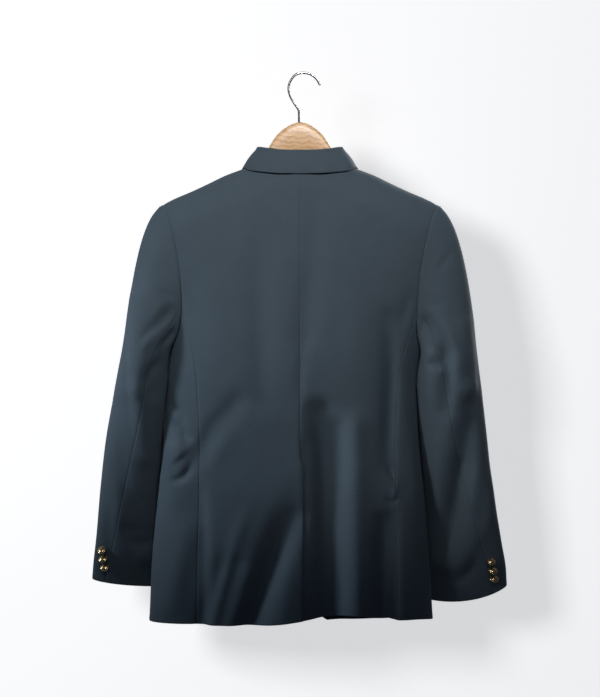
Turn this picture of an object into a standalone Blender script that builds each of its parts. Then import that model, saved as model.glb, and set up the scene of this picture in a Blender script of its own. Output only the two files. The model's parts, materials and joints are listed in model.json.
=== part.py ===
import math

import bpy
import numpy as np

for old in list(bpy.data.objects):
    bpy.data.objects.remove(old)

# Everything below is in millimetres. The origin is where the hook bears on its rail,
# +Z is up, the back of the blazer faces +Y and the wearer's left is +X.
metre = 0.001
garmentMiddle = 6.7  # the garment's centre line stands this far to the left of the hook's bearing point
wall = 2.0
seam = 0.5  # gap between two pieces sewn together
ridgeGap = 0.5  # half the gap along the shoulder seam
lift = 0.4  # gap under a piece that lies on another
flapThick = 1.6
flapRaise = 0.9  # flaps and welt stand this far off the front, whose faceted wall bulges between them

boxy = 2.5  # how square the body's sections are, 2 being an ellipse
ridge = 1.8  # how round the shoulder is from front to back
shoulderDrop = 65.0  # the depth of cloth under the shoulder line that rounds over

ventTop = -645.0
ventLap = 5.5  # the left back reaches this far past the centre at the vent
ventUnder = 38.0  # the right back reaches this far under it
ventStep = 7.0  # the vent opens over this height above and below its top
frontLap = 20.0  # each front reaches this far past the centre
breakHeight = -548.0  # where the lapels start to roll
neckPoint = 76.0
backNeck = -160.0
backHemMiddle = -906.0
joinShare = 0.66  # the share of a panel's height at which its side seam meets the armhole


def table(names, rows):
    return dict(zip(names.split(), np.array(rows, float).T))


# A row for each level of the body
body = table(
    "z half back front shift",
    [
        (-110, 262, 46, 44, 0),
        (-160, 258, 52, 48, 0),
        (-210, 250, 61, 56, 0),
        (-260, 243, 69, 63, 0),
        (-320, 233, 76, 69, 0),
        (-400, 219, 79, 74, 1.5),
        (-466, 211, 78, 75, 8),
        (-510, 210, 76, 74, 14),
        (-560, 211, 72, 72, 15),
        (-620, 214, 69, 70, 15),
        (-700, 222, 72, 71, 15),
        (-800, 231, 77, 74, 16),
        (-905, 237, 81, 77, 15),
        (-945, 239, 82, 78, 15),
    ],
)

# The line along the top of the shoulder, from the middle of the neck outwards
shoulder = table(
    "x z",
    [
        (0, -116),
        (40, -134),
        (76, -151),
        (96, -159.5),
        (126, -171),
        (154, -184.6),
        (183, -198),
        (214, -211.4),
        (228, -219),
        (245, -232),
        (262, -247),
    ],
)

# The armhole, a row for each turn round it: 0 at the shoulder tip, 90 at the back, 180 under the arm
armhole = table(
    "turn out z",
    [
        (-205, 205, -457),
        (-180, 211, -467),
        (-155, 203, -456),
        (-130, 190, -427),
        (-100, 183, -380),
        (-75, 186, -334),
        (-50, 199, -281),
        (-25, 218.5, -237),
        (0, 228, -219.5),
        (25, 221, -237),
        (50, 208, -281),
        (75, 198.5, -334),
        (100, 194.5, -384),
        (130, 196, -430),
        (155, 204, -456),
        (180, 211, -467),
        (205, 203, -456),
    ],
)
backJoin = 108.0  # the turns where the side panel's two seams meet the armhole
frontJoin = -112.0

# How far out from the centre the side panel's seams run
sideSeams = table(
    "z back front",
    [
        (-400, 192, 188),
        (-440, 181, 184),
        (-480, 171, 181),
        (-560, 163, 178),
        (-700, 162, 180),
        (-800, 164, 186),
        (-920, 166, 190),
    ],
)

# The hem of the back, across from the wearer's right to the left, and of the fronts
backHem = table(
    "x z",
    [
        (-225, -914),
        (-205, -917),
        (-170, -908),
        (-130, -901),
        (-75, -897),
        (-30, -901),
        (0, -906),
        (52, -912),
        (110, -913.5),
        (208, -911),
        (250, -908),
    ],
)
frontHem = table("x z", [(0, -929), (45, -929), (110, -926), (190, -918), (255, -911)])

# The largest folds. Each runs from x0,z0 to x1,z1: out of the cloth where high is over 0, into it under 0
foldNames = "x0 z0 x1 z1 wide high"
backFolds = table(
    foldNames,
    [
        (-31, -215, -6, -443, 20, -3.5),
        (-147, -411, -146, -650, 17, -4.5),
        (-34, -565, -34, -915, 20, -9),
        (-62, -590, -66, -915, 18, -6),
        (-90, -590, -88, -915, 22, 6),
        (-136, -745, -134, -915, 17, -7),
        (-172, -720, -176, -915, 15, 3),
        (8, -735, 84, -915, 18, -5),
        (104, -815, 134, -915, 16, -4),
        (181, -760, 216, -880, 22, 4),
        (104, -549, 166, -640, 17, -3.5),
        (199, -624, 203, -640, 24, 5),
        (65, -300, 62, -540, 24, -2),
    ],
)
frontFolds = table(
    foldNames,
    [
        (118, -470, 96, -640, 24, -4),
        (40, -600, 104, -800, 20, -4),
        (-52, -610, -120, -830, 22, -4),
        (-120, -480, -104, -640, 24, -4),
        (150, -740, 158, -915, 22, -4),
        (-146, -760, -160, -915, 22, -4),
        (90, -800, 96, -925, 24, 4),
        (-60, -700, -66, -925, 24, 3),
    ],
)

# The sleeves' outer edges, as seen from behind
sleeveEdge = table(
    "z left right",
    [
        (-490, 299, 298),
        (-544, 312, 306),
        (-614, 327, 315),
        (-700, 338, 325),
        (-780, 345, 338),
        (-850, 352, 348),
        (-900, 353, 350),
    ],
)

# The sleeves below the arm: half width and half depth of the section, how far forward
# its middle lies, its turn in degrees and how much higher its outer edge is
ringNames = "z wide deep fore yaw slope"
sleeveRings = {
    1: table(
        ringNames,
        [
            (-505, 46, 63, -8, 0, 26),
            (-600, 56, 51, -22, 8, 10),
            (-700, 61, 41, -33, 12, 5),
            (-800, 64, 30, -40, 14, 6),
            (-858, 66, 21, -46, 16, 8),
            (-872, 66, 20, -46, 16, 8),
        ],
    ),
    -1: table(
        ringNames,
        [
            (-505, 52, 65, -8, 0, 26),
            (-600, 60, 52, -16, 4, 10),
            (-700, 59, 42, -20, 6, 5),
            (-800, 64, 30, -24, 8, 9),
            (-884, 66.5, 21, -28, 8, 13),
            (-900, 66.5, 20, -28, 8, 13),
        ],
    ),
}
cuffLevel = {1: -861.0, -1: -884.0}
cuffDip = {1: 2.0, -1: 10.0}  # the cuff hangs this much lower between its two edges than at them
capShare = 0.42  # the share of the sleeve's rows that lies above its first ring

# The seams of the two-piece sleeve, in turns, from the armhole to the cuff
sleeveSeams = table("along back front", [(0, 106, -108), (0.42, 96, -112), (1, 60, -122)])

sleeveFolds = {
    1: table(
        foldNames,
        [
            (223, -470, 240, -530, 14, -5),
            (271, -381, 268, -528, 15, 4),
            (268, -528, 257, -640, 15, 4),
            (288, -766, 236, -782, 13, -4),
            (300, -560, 296, -700, 16, -3),
        ],
    ),
    -1: table(
        foldNames,
        [
            (-204, -420, -236, -470, 15, -6),
            (-236, -470, -240, -561, 15, -5),
            (-270, -422, -279, -525, 15, 4),
            (-279, -525, -274, -634, 15, 4),
            (-281, -560, -242, -800, 18, -5),
            (-246, -826, -292, -776, 16, 4),
        ],
    ),
}

# The collar, from the centre back to the notch: the height of its stand, the radius of
# its fold and where the edge of its fall lies
collarRows = table(
    "along stand round edgeX edgeY edgeZ",
    [
        (0, 25, 3.4, 0, 57, -172.6),
        (0.25, 25.5, 3.4, 50, 50, -170),
        (0.42, 26, 3.4, 88, 24, -163),
        (0.5, 26, 3.4, 97, 0, -158.5),
        (0.58, 25, 3.4, 101, -22, -163),
        (0.75, 18, 3.2, 108, -44, -180),
        (0.9, 8, 3.0, 115, -52, -192),
        (1, 3.5, 2.8, 119, -54, -198),
    ],
)
gorge = (61.6, -205.0)
notch = (99.0, -224.0)
lapelTip = (143.0, -243.0)

cuffButtonRadius = 7.5
cuffButtons = {
    1: [(332.0, -802.5), (330.4, -817.3), (328.4, -832.1)],
    -1: [(-319.6, -820.5), (-322.6, -835.1), (-324.6, -849.7)],
}
cuffButtonTilt = 0.3
cuffShank = 2.6
cuffLift = 0.85
frontButtonRadius = 10.0
frontButtons = [-560.0, -665.0]
frontShank = 2.0

# The wooden hanger, a row for each slice outwards: its top, its height, its half thickness
# and how far its arm bows forward
hangerRows = table(
    "x top tall thick fore",
    [
        (0, -80.5, 62, 6.5, 0),
        (12, -83.5, 60, 6.5, 0),
        (25, -90.6, 56, 6.5, 0),
        (40, -104.0, 47, 6.5, 0),
        (52, -122.5, 36, 7, 0),
        (62, -140, 30, 7.5, 0),
        (72, -153.5, 26, 8, 0),
        (90, -157, 25, 9, 0),
        (125, -170, 24, 10, 0),
        (155, -184, 23, 11, 0),
        (183, -197, 22, 11, 0.5),
        (203, -205, 20, 9.5, 0.5),
        (211, -214, 14, 7, 0.5),
    ],
)
restGap = 1.1  # between the cloth's inside and the arms of the hanger, where the faceted wall dips least
wireRadius = 2.0
hookHoleRadius = 2.35
# The hook's wire, from its foot in the wood to its tip, as x and z
hookPath = [
    (1.7, -96.0),
    (1.7, -72.0),
    (2.2, -61.0),
    (9.5, -49.5),
    (16.8, -36.0),
    (19.3, -24.0),
    (16.2, -12.0),
    (7.5, -1.2),
    (-6.7, 2.0),
    (-19.8, -1.5),
    (-29.0, -10.0),
    (-33.5, -18.5),
]

woodColour = (0.62, 0.41, 0.24)
clothColour = (0.028, 0.042, 0.062)
brassColour = (0.55, 0.36, 0.13)
steelColour = (0.62, 0.62, 0.6)


def smooth(t):
    t = np.clip(t, 0, 1)
    return t * t * (3 - 2 * t)


def through(known, values, at):
    """A smooth curve through a table's rows, level beyond its ends."""
    if known[0] > known[-1]:
        known, values = known[::-1], values[::-1]
    slopes = np.gradient(values, known)
    at = np.clip(at, known[0], known[-1])
    i = np.clip(np.searchsorted(known, at) - 1, 0, len(known) - 2)
    step = known[i + 1] - known[i]
    t = (at - known[i]) / step
    rise = t * t * (3 - 2 * t)
    return (
        (1 - rise) * values[i]
        + rise * values[i + 1]
        + t * (1 - t) ** 2 * step * slopes[i]
        + t * t * (t - 1) * step * slopes[i + 1]
    )


def bodyAt(column, z):
    return through(body["z"], body[column], z)


def shoulderAt(x):
    return through(shoulder["x"], shoulder["z"], np.abs(x))


def foldsAt(folds, x, z):
    total = 0
    for x0, z0, x1, z1, wide, high in zip(*folds.values()):
        run, fall = x1 - x0, z1 - z0
        t = np.clip(((x - x0) * run + (z - z0) * fall) / (run * run + fall * fall), 0, 1)
        away = np.hypot(x - x0 - t * run, z - z0 - t * fall)
        total = total + high * np.exp(-((away / wide) ** 2))
    return total


def bodyDepth(x, z, facing):
    """How far the cloth lies behind (facing 1) or before (facing -1) the middle."""
    across = np.abs(x - bodyAt("shift", z)) / bodyAt("half", z)
    flat = np.maximum(0, 1 - across**boxy) ** (1 / boxy)
    under = np.clip((shoulderAt(x) - z) / shoulderDrop, 0, 1)
    over = (1 - (1 - under) ** ridge) ** (1 / ridge)
    return bodyAt("back" if facing > 0 else "front", z) * flat * over


def onBody(x, z, facing, out=0.0):
    """The point of the cloth at x and z, moved out along its normal."""

    def depth(x, z):
        plain = bodyDepth(x, z, facing)
        folds = backFolds if facing > 0 else frontFolds
        return plain + foldsAt(folds, x, z) * smooth(plain / 25)

    here = depth(x, z)
    slopeX = (depth(x + 0.5, z) - depth(x - 0.5, z)) if np.any(out) else 0
    slopeZ = (depth(x, z + 0.5) - depth(x, z - 0.5)) if np.any(out) else 0
    scale = out / np.sqrt(1 + slopeX**2 + slopeZ**2)
    return np.stack([x - slopeX * scale, facing * (here + scale), z - slopeZ * scale], -1)


def armholeAt(turn, side, gap=0.0):
    turn = (np.asarray(turn, float) + 180) % 360 - 180
    z = through(armhole["turn"], armhole["z"], turn)
    x = side * (through(armhole["turn"], armhole["out"], turn) + gap) + bodyAt("shift", z)
    return x, z


def sideSeamAt(z, side, which, gap=0.0):
    """The x of a side panel's seam, led into the armhole at its top."""
    join, facing = (backJoin, 1) if which == "back" else (frontJoin, -1)
    joinX, joinZ = armholeAt(join, side)
    share = 0.27 if which == "back" else 0.8
    x = side * through(sideSeams["z"], sideSeams[which], z) + share * bodyAt("shift", z)
    ended = side * through(sideSeams["z"], sideSeams[which], joinZ) + share * bodyAt("shift", joinZ)
    return x + (joinX - ended) * smooth((z - joinZ + 90) / 90) + side * gap


def hemAt(x, facing):
    if facing > 0:
        return through(backHem["x"], backHem["z"], x)
    return through(frontHem["x"], frontHem["z"], np.abs(x))


def line(points):
    """A function from 0..1 along a run of 2-D points."""
    points = np.array(points, float)
    far = np.concatenate([[0], np.cumsum(np.hypot(*np.diff(points, axis=0).T))])
    far /= far[-1]
    return lambda t: np.stack([np.interp(t, far, points[:, 0]), np.interp(t, far, points[:, 1])], -1)


def spread(left, right, bottom, top, u, w):
    """The patch between four edges, each a function of 0..1."""
    u, w = u[:, None, None], w[None, :, None]
    sides = (1 - u) * left(w[..., 0]) + u * right(w[..., 0])
    ends = (1 - w) * bottom(u[..., 0]) + w * top(u[..., 0])
    corners = (1 - u) * ((1 - w) * left(0.0) + w * left(1.0)) + u * ((1 - w) * right(0.0) + w * right(1.0))
    return sides + ends - corners


def panelRows(lower, upper):
    """Heights 0..1 up a panel: even up to the armhole, then closer where the shoulder rounds over."""
    below = np.linspace(0, joinShare, lower + 1)
    vent = (np.array([ventTop - ventStep, ventTop + ventStep]) - backHemMiddle) / (backNeck - backHemMiddle)
    for share in vent:
        below[np.argmin(np.abs(below - share) + 9 * np.isin(below, vent))] = share
    down = np.linspace(1, 0, upper + 1)[1:]
    above = 1 - (1 - joinShare) * (1.25 * down**1.8 - 0.25 * down**3.6)
    return np.concatenate([np.sort(below), above])


def seamWithArmhole(side, which, gap):
    """A panel's outer edge from the hem up its side seam and round the armhole to the shoulder tip."""
    join, facing = (backJoin, 1) if which == "back" else (frontJoin, -1)
    joinZ = armholeAt(join, side)[1]
    hem = hemAt(sideSeamAt(-912.0, side, which), facing)
    x, z = armholeAt(np.linspace(join, 0, 60), side, -gap)
    z = np.minimum(z, underShoulder(x, ridgeGap))
    armholeLine = line(np.stack([x, z], -1))

    def edge(t):
        t = np.asarray(t, float)
        height = hem + (joinZ - hem) * np.clip(t / joinShare, 0, 1)
        seamLine = np.stack([sideSeamAt(height, side, which, -gap), height], -1)
        above = armholeLine(np.clip((t - joinShare) / (1 - joinShare), 0, 1))
        return np.where((t <= joinShare)[..., None], seamLine, above)

    return edge


def underShoulder(x, y):
    """The height on the rounded shoulder where the cloth is y from the middle."""
    reach = np.clip(y / 50, 0, 1)
    return shoulderAt(x) - shoulderDrop * (1 - (1 - reach**ridge) ** (1 / ridge))


def backPanel(side):
    """The points of one back panel as a function of 0..1 from the centre and 0..1 from the hem."""
    edge = seamWithArmhole(side, "back", seam / 2)
    past = -ventLap if side > 0 else ventUnder
    tipX = edge(1.0)[0]

    def centre(t):
        z = backHemMiddle + (backNeck - backHemMiddle) * np.asarray(t, float)
        opened = smooth((ventTop + ventStep - z) / (2 * ventStep))
        x = side * seam / 2 * (1 - opened) + past * opened
        return np.stack([x, z + (hemAt(x, 1) - backHemMiddle) * smooth(1 - t / 0.1)], -1)

    def hem(t):
        x = centre(0.0)[0] + (edge(0.0)[0] - centre(0.0)[0]) * t
        return np.stack([x, hemAt(x, 1)], -1)

    def top(t):
        x = side * seam / 2 + (tipX - side * seam / 2) * np.asarray(t, float)
        rise = underShoulder(neckPoint, ridgeGap) - backNeck
        neck = backNeck + rise * np.clip(np.abs(x) / neckPoint, 0, 1) ** 2.5
        z = np.where(np.abs(x) < neckPoint, neck, underShoulder(x, ridgeGap))
        return np.stack([x, np.where(t == 1, edge(1.0)[1], z)], -1)

    def point(u, w):
        x, z = np.moveaxis(spread(centre, edge, hem, top, u, w), -1, 0)
        sunk = smooth((-600 - z) / 35) * smooth((x + 24) / 17) * (wall + lift) if side < 0 else 0.0
        return onBody(x, z, 1, -sunk)

    return point


def frontPanel(side):
    """The points of one front, from its edge and its roll line out to the side seam and the armhole."""
    edge = seamWithArmhole(side, "front", seam / 2)
    tip = edge(1.0)
    cutaway = [(46, -929), (38, -924), (24, -908), (10, -884), (-2, -850), (-11, -810), (-16, -760)]
    top = underShoulder(neckPoint, ridgeGap)
    inner = cutaway + [(-frontLap, -690), (-frontLap, breakHeight), (neckPoint, top)]
    centre = line([(side * x, z) for x, z in inner])
    across = np.linspace(0, 1, 40)
    hemX = side * 46 + (edge(0.0)[0] - side * 46) * across
    hem = line(np.stack([hemX, hemAt(hemX, -1)], -1))

    def shoulderLine(t):
        x = side * neckPoint + (tip[0] - side * neckPoint) * np.asarray(t, float)
        return np.stack([x, np.where(t == 1, tip[1], underShoulder(x, ridgeGap))], -1)

    def point(u, w):
        x, z = np.moveaxis(spread(centre, edge, hem, shoulderLine, u, w), -1, 0)
        return onBody(x, z, -1, -frontSunk(side, x, z))

    return point


def frontSunk(side, x, z):
    """How far the right front lies under the left one, with room between them for its own lapel."""
    if side > 0:
        return 0.0
    return smooth((x + 75) / 60) * smooth((-330 - z) / 120) * (2 * (wall + lift) + 0.5)


def sidePanel(side):
    """The points of one side panel, from the back seam round under the arm to the front seam."""
    turnScale = 220  # millimetres of cloth to a radian, to weigh turns against heights

    def turnOf(x, z, facing):
        across = np.clip((x - bodyAt("shift", z)) * side / bodyAt("half", z), 0, 1)
        turn = np.arcsin(across ** (boxy / 2))
        return turn if facing > 0 else math.pi - turn

    def edge(which, facing):
        join = armholeAt(backJoin if facing > 0 else frontJoin, side)[1]
        hem = hemAt(sideSeamAt(-912.0, side, which), facing)

        def at(t):
            z = hem + (join - hem) * np.asarray(t, float)
            return np.stack([turnOf(sideSeamAt(z, side, which, seam / 2), z, facing) * turnScale, z], -1)

        return at

    back, front = edge("back", 1), edge("front", -1)

    def low(t):
        t = np.asarray(t, float)[..., None]
        return back(0.0) + (front(0.0) - back(0.0)) * np.concatenate([t, smooth(t)], -1)

    turns = np.linspace(backJoin, 360 + frontJoin, 80)
    x, z = armholeAt(turns, side, -seam / 2)
    top = np.stack([np.where(turns < 180, turnOf(x, z, 1), turnOf(x, z, -1)) * turnScale, z], -1)
    top[0], top[-1] = back(1.0), front(1.0)

    def point(u, w):
        turn, z = np.moveaxis(spread(back, front, low, line(top), u, w), -1, 0)
        turn = turn / turnScale
        x = bodyAt("shift", z) + side * bodyAt("half", z) * np.sin(turn) ** (2 / boxy)
        reach = np.abs(np.cos(turn)) ** (2 / boxy)
        behind = bodyAt("back", z) * reach
        before = bodyAt("front", z) * reach
        behind = behind + foldsAt(backFolds, x, z) * smooth(behind / 25)
        before = before + foldsAt(frontFolds, x, z) * smooth(before / 25)
        return np.stack([x, np.where(np.cos(turn) > 0, behind, -before), z], -1)

    return point


def lapel(side):
    """The lapel on one front, from the roll line out to its edge."""
    roll = line([(side * -frontLap, breakHeight), (side * gorge[0], gorge[1] - seam)])
    outline = [(-14, breakHeight - 3), (32, -468), (82, -378), (121, -300), (138, -262), lapelTip]
    edge = line([(side * x, z) for x, z in outline])
    low = line([roll(0.0), edge(0.0)])
    top = line([roll(1.0), (side * notch[0], notch[1] - seam), edge(1.0)])

    def point(u, w):
        x, z = np.moveaxis(spread(roll, edge, low, top, u, w), -1, 0)
        return onBody(x, z, -1, wall + lift + 0.2 - frontSunk(side, x, z))

    return point


def laidOn(side, corners, out, facing=-1):
    """A four-cornered piece laid on the cloth: inner low, outer low, outer high, inner high."""
    a, b, c, d = [(side * x, z) for x, z in corners]
    return lambda u, w: onBody(
        *np.moveaxis(spread(line([a, d]), line([b, c]), line([a, b]), line([d, c]), u, w), -1, 0),
        facing,
        out,
    )


def offBody(x, y, z, clear):
    """Moves a point of the sleeve clear of the body beside it."""
    half = bodyAt("half", z) + clear
    depth = np.where(y > 0, bodyAt("back", z), bodyAt("front", z)) + clear
    middle = bodyAt("shift", z)
    inside = (np.abs(x - middle) / half) ** boxy + (np.abs(y) / depth) ** boxy
    grow = np.where(z < -395, np.maximum(1, np.maximum(inside, 1e-3) ** (-1 / boxy)), 1)
    return middle + (x - middle) * grow, y * grow


def sleeveRing(side, level, turn):
    rings = sleeveRings[side]
    columns = ringNames.split()[1:]
    wide, deep, fore, yaw, slope = [through(rings["z"], rings[name], level) for name in columns]
    yaw = np.radians(yaw)
    reach = np.hypot(wide * np.cos(yaw), deep * np.sin(yaw))
    edge = through(sleeveEdge["z"], sleeveEdge["left" if side > 0 else "right"], level)
    a = np.radians(turn) - yaw
    out = edge - reach + wide * np.cos(a) * np.cos(yaw) - deep * np.sin(a) * np.sin(yaw)
    y = fore + wide * np.cos(a) * np.sin(yaw) + deep * np.sin(a) * np.cos(yaw)
    dip = cuffDip[side] * smooth((rings["z"][-3] - level) / 70) * np.cos(np.radians(turn)) ** 2
    return np.stack([side * out, y, level + slope * np.cos(np.radians(turn)) + dip], -1)


def sleeveCap(side, t, turn):
    """From the armhole at t 0 to the sleeve's first full ring at t 1."""
    first = sleeveRings[side]["z"][0]
    x, z = armholeAt(turn, side)
    wrapped = (turn + 180) % 360 - 180
    depth = np.where(wrapped > 0, bodyDepth(x, z, 1), bodyDepth(x, z, -1))
    start = np.stack([x, np.sign(wrapped) * depth, z], -1)
    end = sleeveRing(side, first, turn)
    length = np.linalg.norm(end - start, axis=-1, keepdims=True)
    outward = 0.68 + 0.25 * np.cos(2 * np.radians(turn))
    leave = np.stack([side * outward, 0 * outward, -np.sqrt(1 - outward**2)], -1)
    start = start + leave * seam
    arrive = sleeveRing(side, first - 5.0, turn) - end
    arrive = arrive / np.linalg.norm(arrive, axis=-1, keepdims=True)
    t = t[..., None]
    rise = t * t * (3 - 2 * t)
    return (
        (1 - rise) * start
        + rise * end
        + t * (1 - t) ** 2 * leave * length * 0.56
        + t * t * (t - 1) * arrive * length
    )


def sleevePlain(side, along, turn):
    along, turn = np.broadcast_arrays(along, turn)
    first, last = sleeveRings[side]["z"][0], cuffLevel[side]
    cap = sleeveCap(side, np.clip(along / capShare, 0, 1), turn)
    below = np.clip((along - capShare) / (1 - capShare), 0, 1)
    tube = sleeveRing(side, first + (last - first) * below, turn)
    x, y, z = np.moveaxis(np.where((along < capShare)[..., None], cap, tube), -1, 0)
    x, y = offBody(x, y, z, 0.8 + 4 * smooth(along / 0.12))
    return np.stack([x, y, z], -1)


def onSleeve(side, along, turn, out=0.0):
    """The sleeve's cloth, moved out by its normal. Its folds are on the side that faces back."""
    step = 1e-3
    here = sleevePlain(side, along, turn)
    down = sleevePlain(side, np.minimum(along + step, 1), turn)
    down = down - sleevePlain(side, np.maximum(along - step, 0), turn)
    across = sleevePlain(side, along, turn + 0.2) - sleevePlain(side, along, turn - 0.2)
    normal = np.cross(down, across) * side
    normal /= np.linalg.norm(normal, axis=-1, keepdims=True)
    fold = foldsAt(sleeveFolds[side], here[..., 0], here[..., 2]) * smooth(normal[..., 1] + 0.35)
    fold = fold * smooth(along / 0.12)
    return here + normal * (fold + out)[..., None]


def sleevePart(side, upper):
    """The top sleeve, between its seams over the outside, or the under sleeve between them inside."""

    def point(u, w):
        along = (1 - w)[None, :]
        back = through(sleeveSeams["along"], sleeveSeams["back"], along)
        front = through(sleeveSeams["along"], sleeveSeams["front"], along)
        gap = 0.35
        if upper:
            turn = front + gap + (back - front - 2 * gap) * u[:, None]
        else:
            turn = back + gap + (360 + front - back - 2 * gap) * u[:, None]
        return onSleeve(side, along + 0 * turn, turn)

    return point


def neckEdge(v):
    """The cloth's edge round the neck and its normal, v 0 at the back to 1 at the gorge."""
    v = np.asarray(v, float)
    back = np.clip(v / 0.5, 0, 1)
    front = np.clip((v - 0.5) / 0.5, 0, 1)
    highest = underShoulder(neckPoint, ridgeGap)
    x = neckPoint * np.sin(back * math.pi / 2) ** 0.9
    x = np.where(v < 0.5, x, neckPoint + (gorge[0] - neckPoint) * front)
    rise = (highest - backNeck) * (x / neckPoint) ** 2.5
    z = np.where(v < 0.5, backNeck + rise, highest + (gorge[1] - highest) * front**1.4)
    behind, before = onBody(x, z, 1), onBody(x, z, -1)
    here = np.where((v < 0.5)[..., None], behind, before)
    centre = np.stack([0 * x, 0 * x, z - 45], -1)
    normal = here - centre
    normal /= np.linalg.norm(normal, axis=-1, keepdims=True)
    return here, normal


def collarPoints(v):
    """The collar's strip: its stand from the neck's edge up to the fold, and its fall down outside."""
    side = np.where(v < 0, -1.0, 1.0)
    along = np.abs(v)
    columns = list(collarRows)[1:]
    stand, bend, edgeX, edgeY, edgeZ = [through(collarRows["along"], collarRows[n], along) for n in columns]
    here, normal = neckEdge(along)
    outward = here * (1, 1, 0)
    outward /= np.linalg.norm(outward, axis=-1, keepdims=True)
    up = np.stack([0 * along, 0 * along, 1 + 0 * along], -1)
    lean = up - outward * 0.28
    lean /= np.linalg.norm(lean, axis=-1, keepdims=True)
    foot = here - outward * (wall + 0.3) + up * (seam + 0.5)
    neckTop = foot + lean * stand[..., None]
    edge = np.stack([edgeX, edgeY, edgeZ], -1)
    far = neckTop + outward * 2 * bend[..., None]
    strip = [foot, (foot + neckTop) / 2, neckTop]
    for turn in (45, 90, 135):
        a = math.radians(turn)
        strip.append(neckTop + (outward * (1 - math.cos(a)) + up * math.sin(a)) * bend[..., None])
    strip.append(far)
    toward = smooth((along - 0.85) / 0.15)[..., None]
    toNotch = np.array([notch[0], -55.0, notch[1] + 1.5])
    for share in (0.25, 0.5, 0.75):
        straight = far + (edge - far) * share + outward * 2.0 * math.sin(math.pi * share)
        bent = far + (toNotch - far) * share * 2 if share <= 0.5 else (toNotch + edge) / 2
        strip.append(straight + (bent - straight) * toward)
    strip.append(edge)
    points = np.stack(strip, 1)
    fall = points[:, 6:]
    points[:, 6:] = offShoulder(fall, wall + lift + 0.5)
    points[..., 0] *= side[:, None]
    return points


def offShoulder(points, clear):
    """Moves points out of the cloth of the shoulders, front and back, till they stand clear of it."""
    x, y, z = np.moveaxis(points, -1, 0)
    facing = np.where(y > 0, 1, -1)
    across = np.abs(x - bodyAt("shift", z)) / bodyAt("half", z)
    flat = np.maximum(0.05, 1 - across**boxy) ** (1 / boxy)
    depth = np.where(facing > 0, bodyAt("back", z), bodyAt("front", z)) * flat
    under = (shoulderAt(x) - z) / shoulderDrop
    up = np.clip(1 - under, 0, 3)
    reach = (up**ridge + (np.abs(y) / depth) ** ridge) ** (1 / ridge)
    least = 1 + clear / depth
    grow = np.maximum(1, least / np.maximum(reach, 1e-3))
    moved = z + (grow - 1) * up * shoulderDrop
    return np.stack([x, y * grow, np.where(up > 0, moved, z)], -1)


def normals(grid):
    across = np.gradient(grid, axis=0)
    along = np.gradient(grid, axis=1)
    normal = np.cross(across, along)
    return normal / np.linalg.norm(normal, axis=-1, keepdims=True)


def exactNormals(point, u, w):
    step = 1e-3
    across = point(np.minimum(u + step, 1), w) - point(np.maximum(u - step, 0), w)
    along = point(u, np.minimum(w + step, 1)) - point(u, np.maximum(w - step, 0))
    normal = np.cross(across, along)
    return normal / np.linalg.norm(normal, axis=-1, keepdims=True)


def paint(obj, colour, roughness, metallic=0.0):
    material = bpy.data.materials.new(obj.name)
    material.use_nodes = True
    shader = material.node_tree.nodes["Principled BSDF"]
    shader.inputs["Base Color"].default_value = (*colour, 1)
    shader.inputs["Roughness"].default_value = roughness
    shader.inputs["Metallic"].default_value = metallic
    obj.data.materials.append(material)


def solid(name, points, faces):
    """A mesh object from points in millimetres, turned so that its faces look out."""
    points = np.asarray(points, float) + (garmentMiddle, 0, 0)
    volume = 0
    for face in faces:
        for i in range(1, len(face) - 1):
            volume += np.dot(points[face[0]], np.cross(points[face[i]], points[face[i + 1]]))
    if volume < 0:
        faces = [face[::-1] for face in faces]
    mesh = bpy.data.meshes.new(name)
    mesh.from_pydata((points * metre).tolist(), [], [list(map(int, face)) for face in faces])
    mesh.shade_smooth()
    obj = bpy.data.objects.new(name, mesh)
    bpy.context.scene.collection.objects.link(obj)
    return obj


def clothFrom(name, outer, normal, thick=wall):
    """A wall of cloth from a grid of its outer points and their normals."""
    rows, columns = outer.shape[:2]
    inner = outer - normal * thick
    points = np.concatenate([outer.reshape(-1, 3), inner.reshape(-1, 3)])
    index = np.arange(rows * columns).reshape(rows, columns)
    under = index + rows * columns
    faces = []
    for i in range(rows - 1):
        for j in range(columns - 1):
            faces.append((index[i, j], index[i + 1, j], index[i + 1, j + 1], index[i, j + 1]))
            faces.append((under[i, j], under[i, j + 1], under[i + 1, j + 1], under[i + 1, j]))
    border = [*index[:, 0], *index[-1, 1:], *index[-2::-1, -1], *index[0, -2:0:-1]]
    below = [*under[:, 0], *under[-1, 1:], *under[-2::-1, -1], *under[0, -2:0:-1]]
    for k in range(len(border)):
        m = (k + 1) % len(border)
        faces.append((border[m], border[k], below[k], below[m]))
    obj = solid(name, points, faces)
    paint(obj, clothColour, 0.85)
    return obj


def cloth(name, point, columns, rows, side, thick=wall, facing=1):
    """A cloth piece on a grid of its own surface. Its normal looks out of the garment."""
    u = np.linspace(0, 1, columns + 1)
    w = np.linspace(0, 1, rows + 1) if isinstance(rows, int) else rows
    return clothFrom(name, point(u, w), exactNormals(point, u, w) * side * facing, thick)


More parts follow.
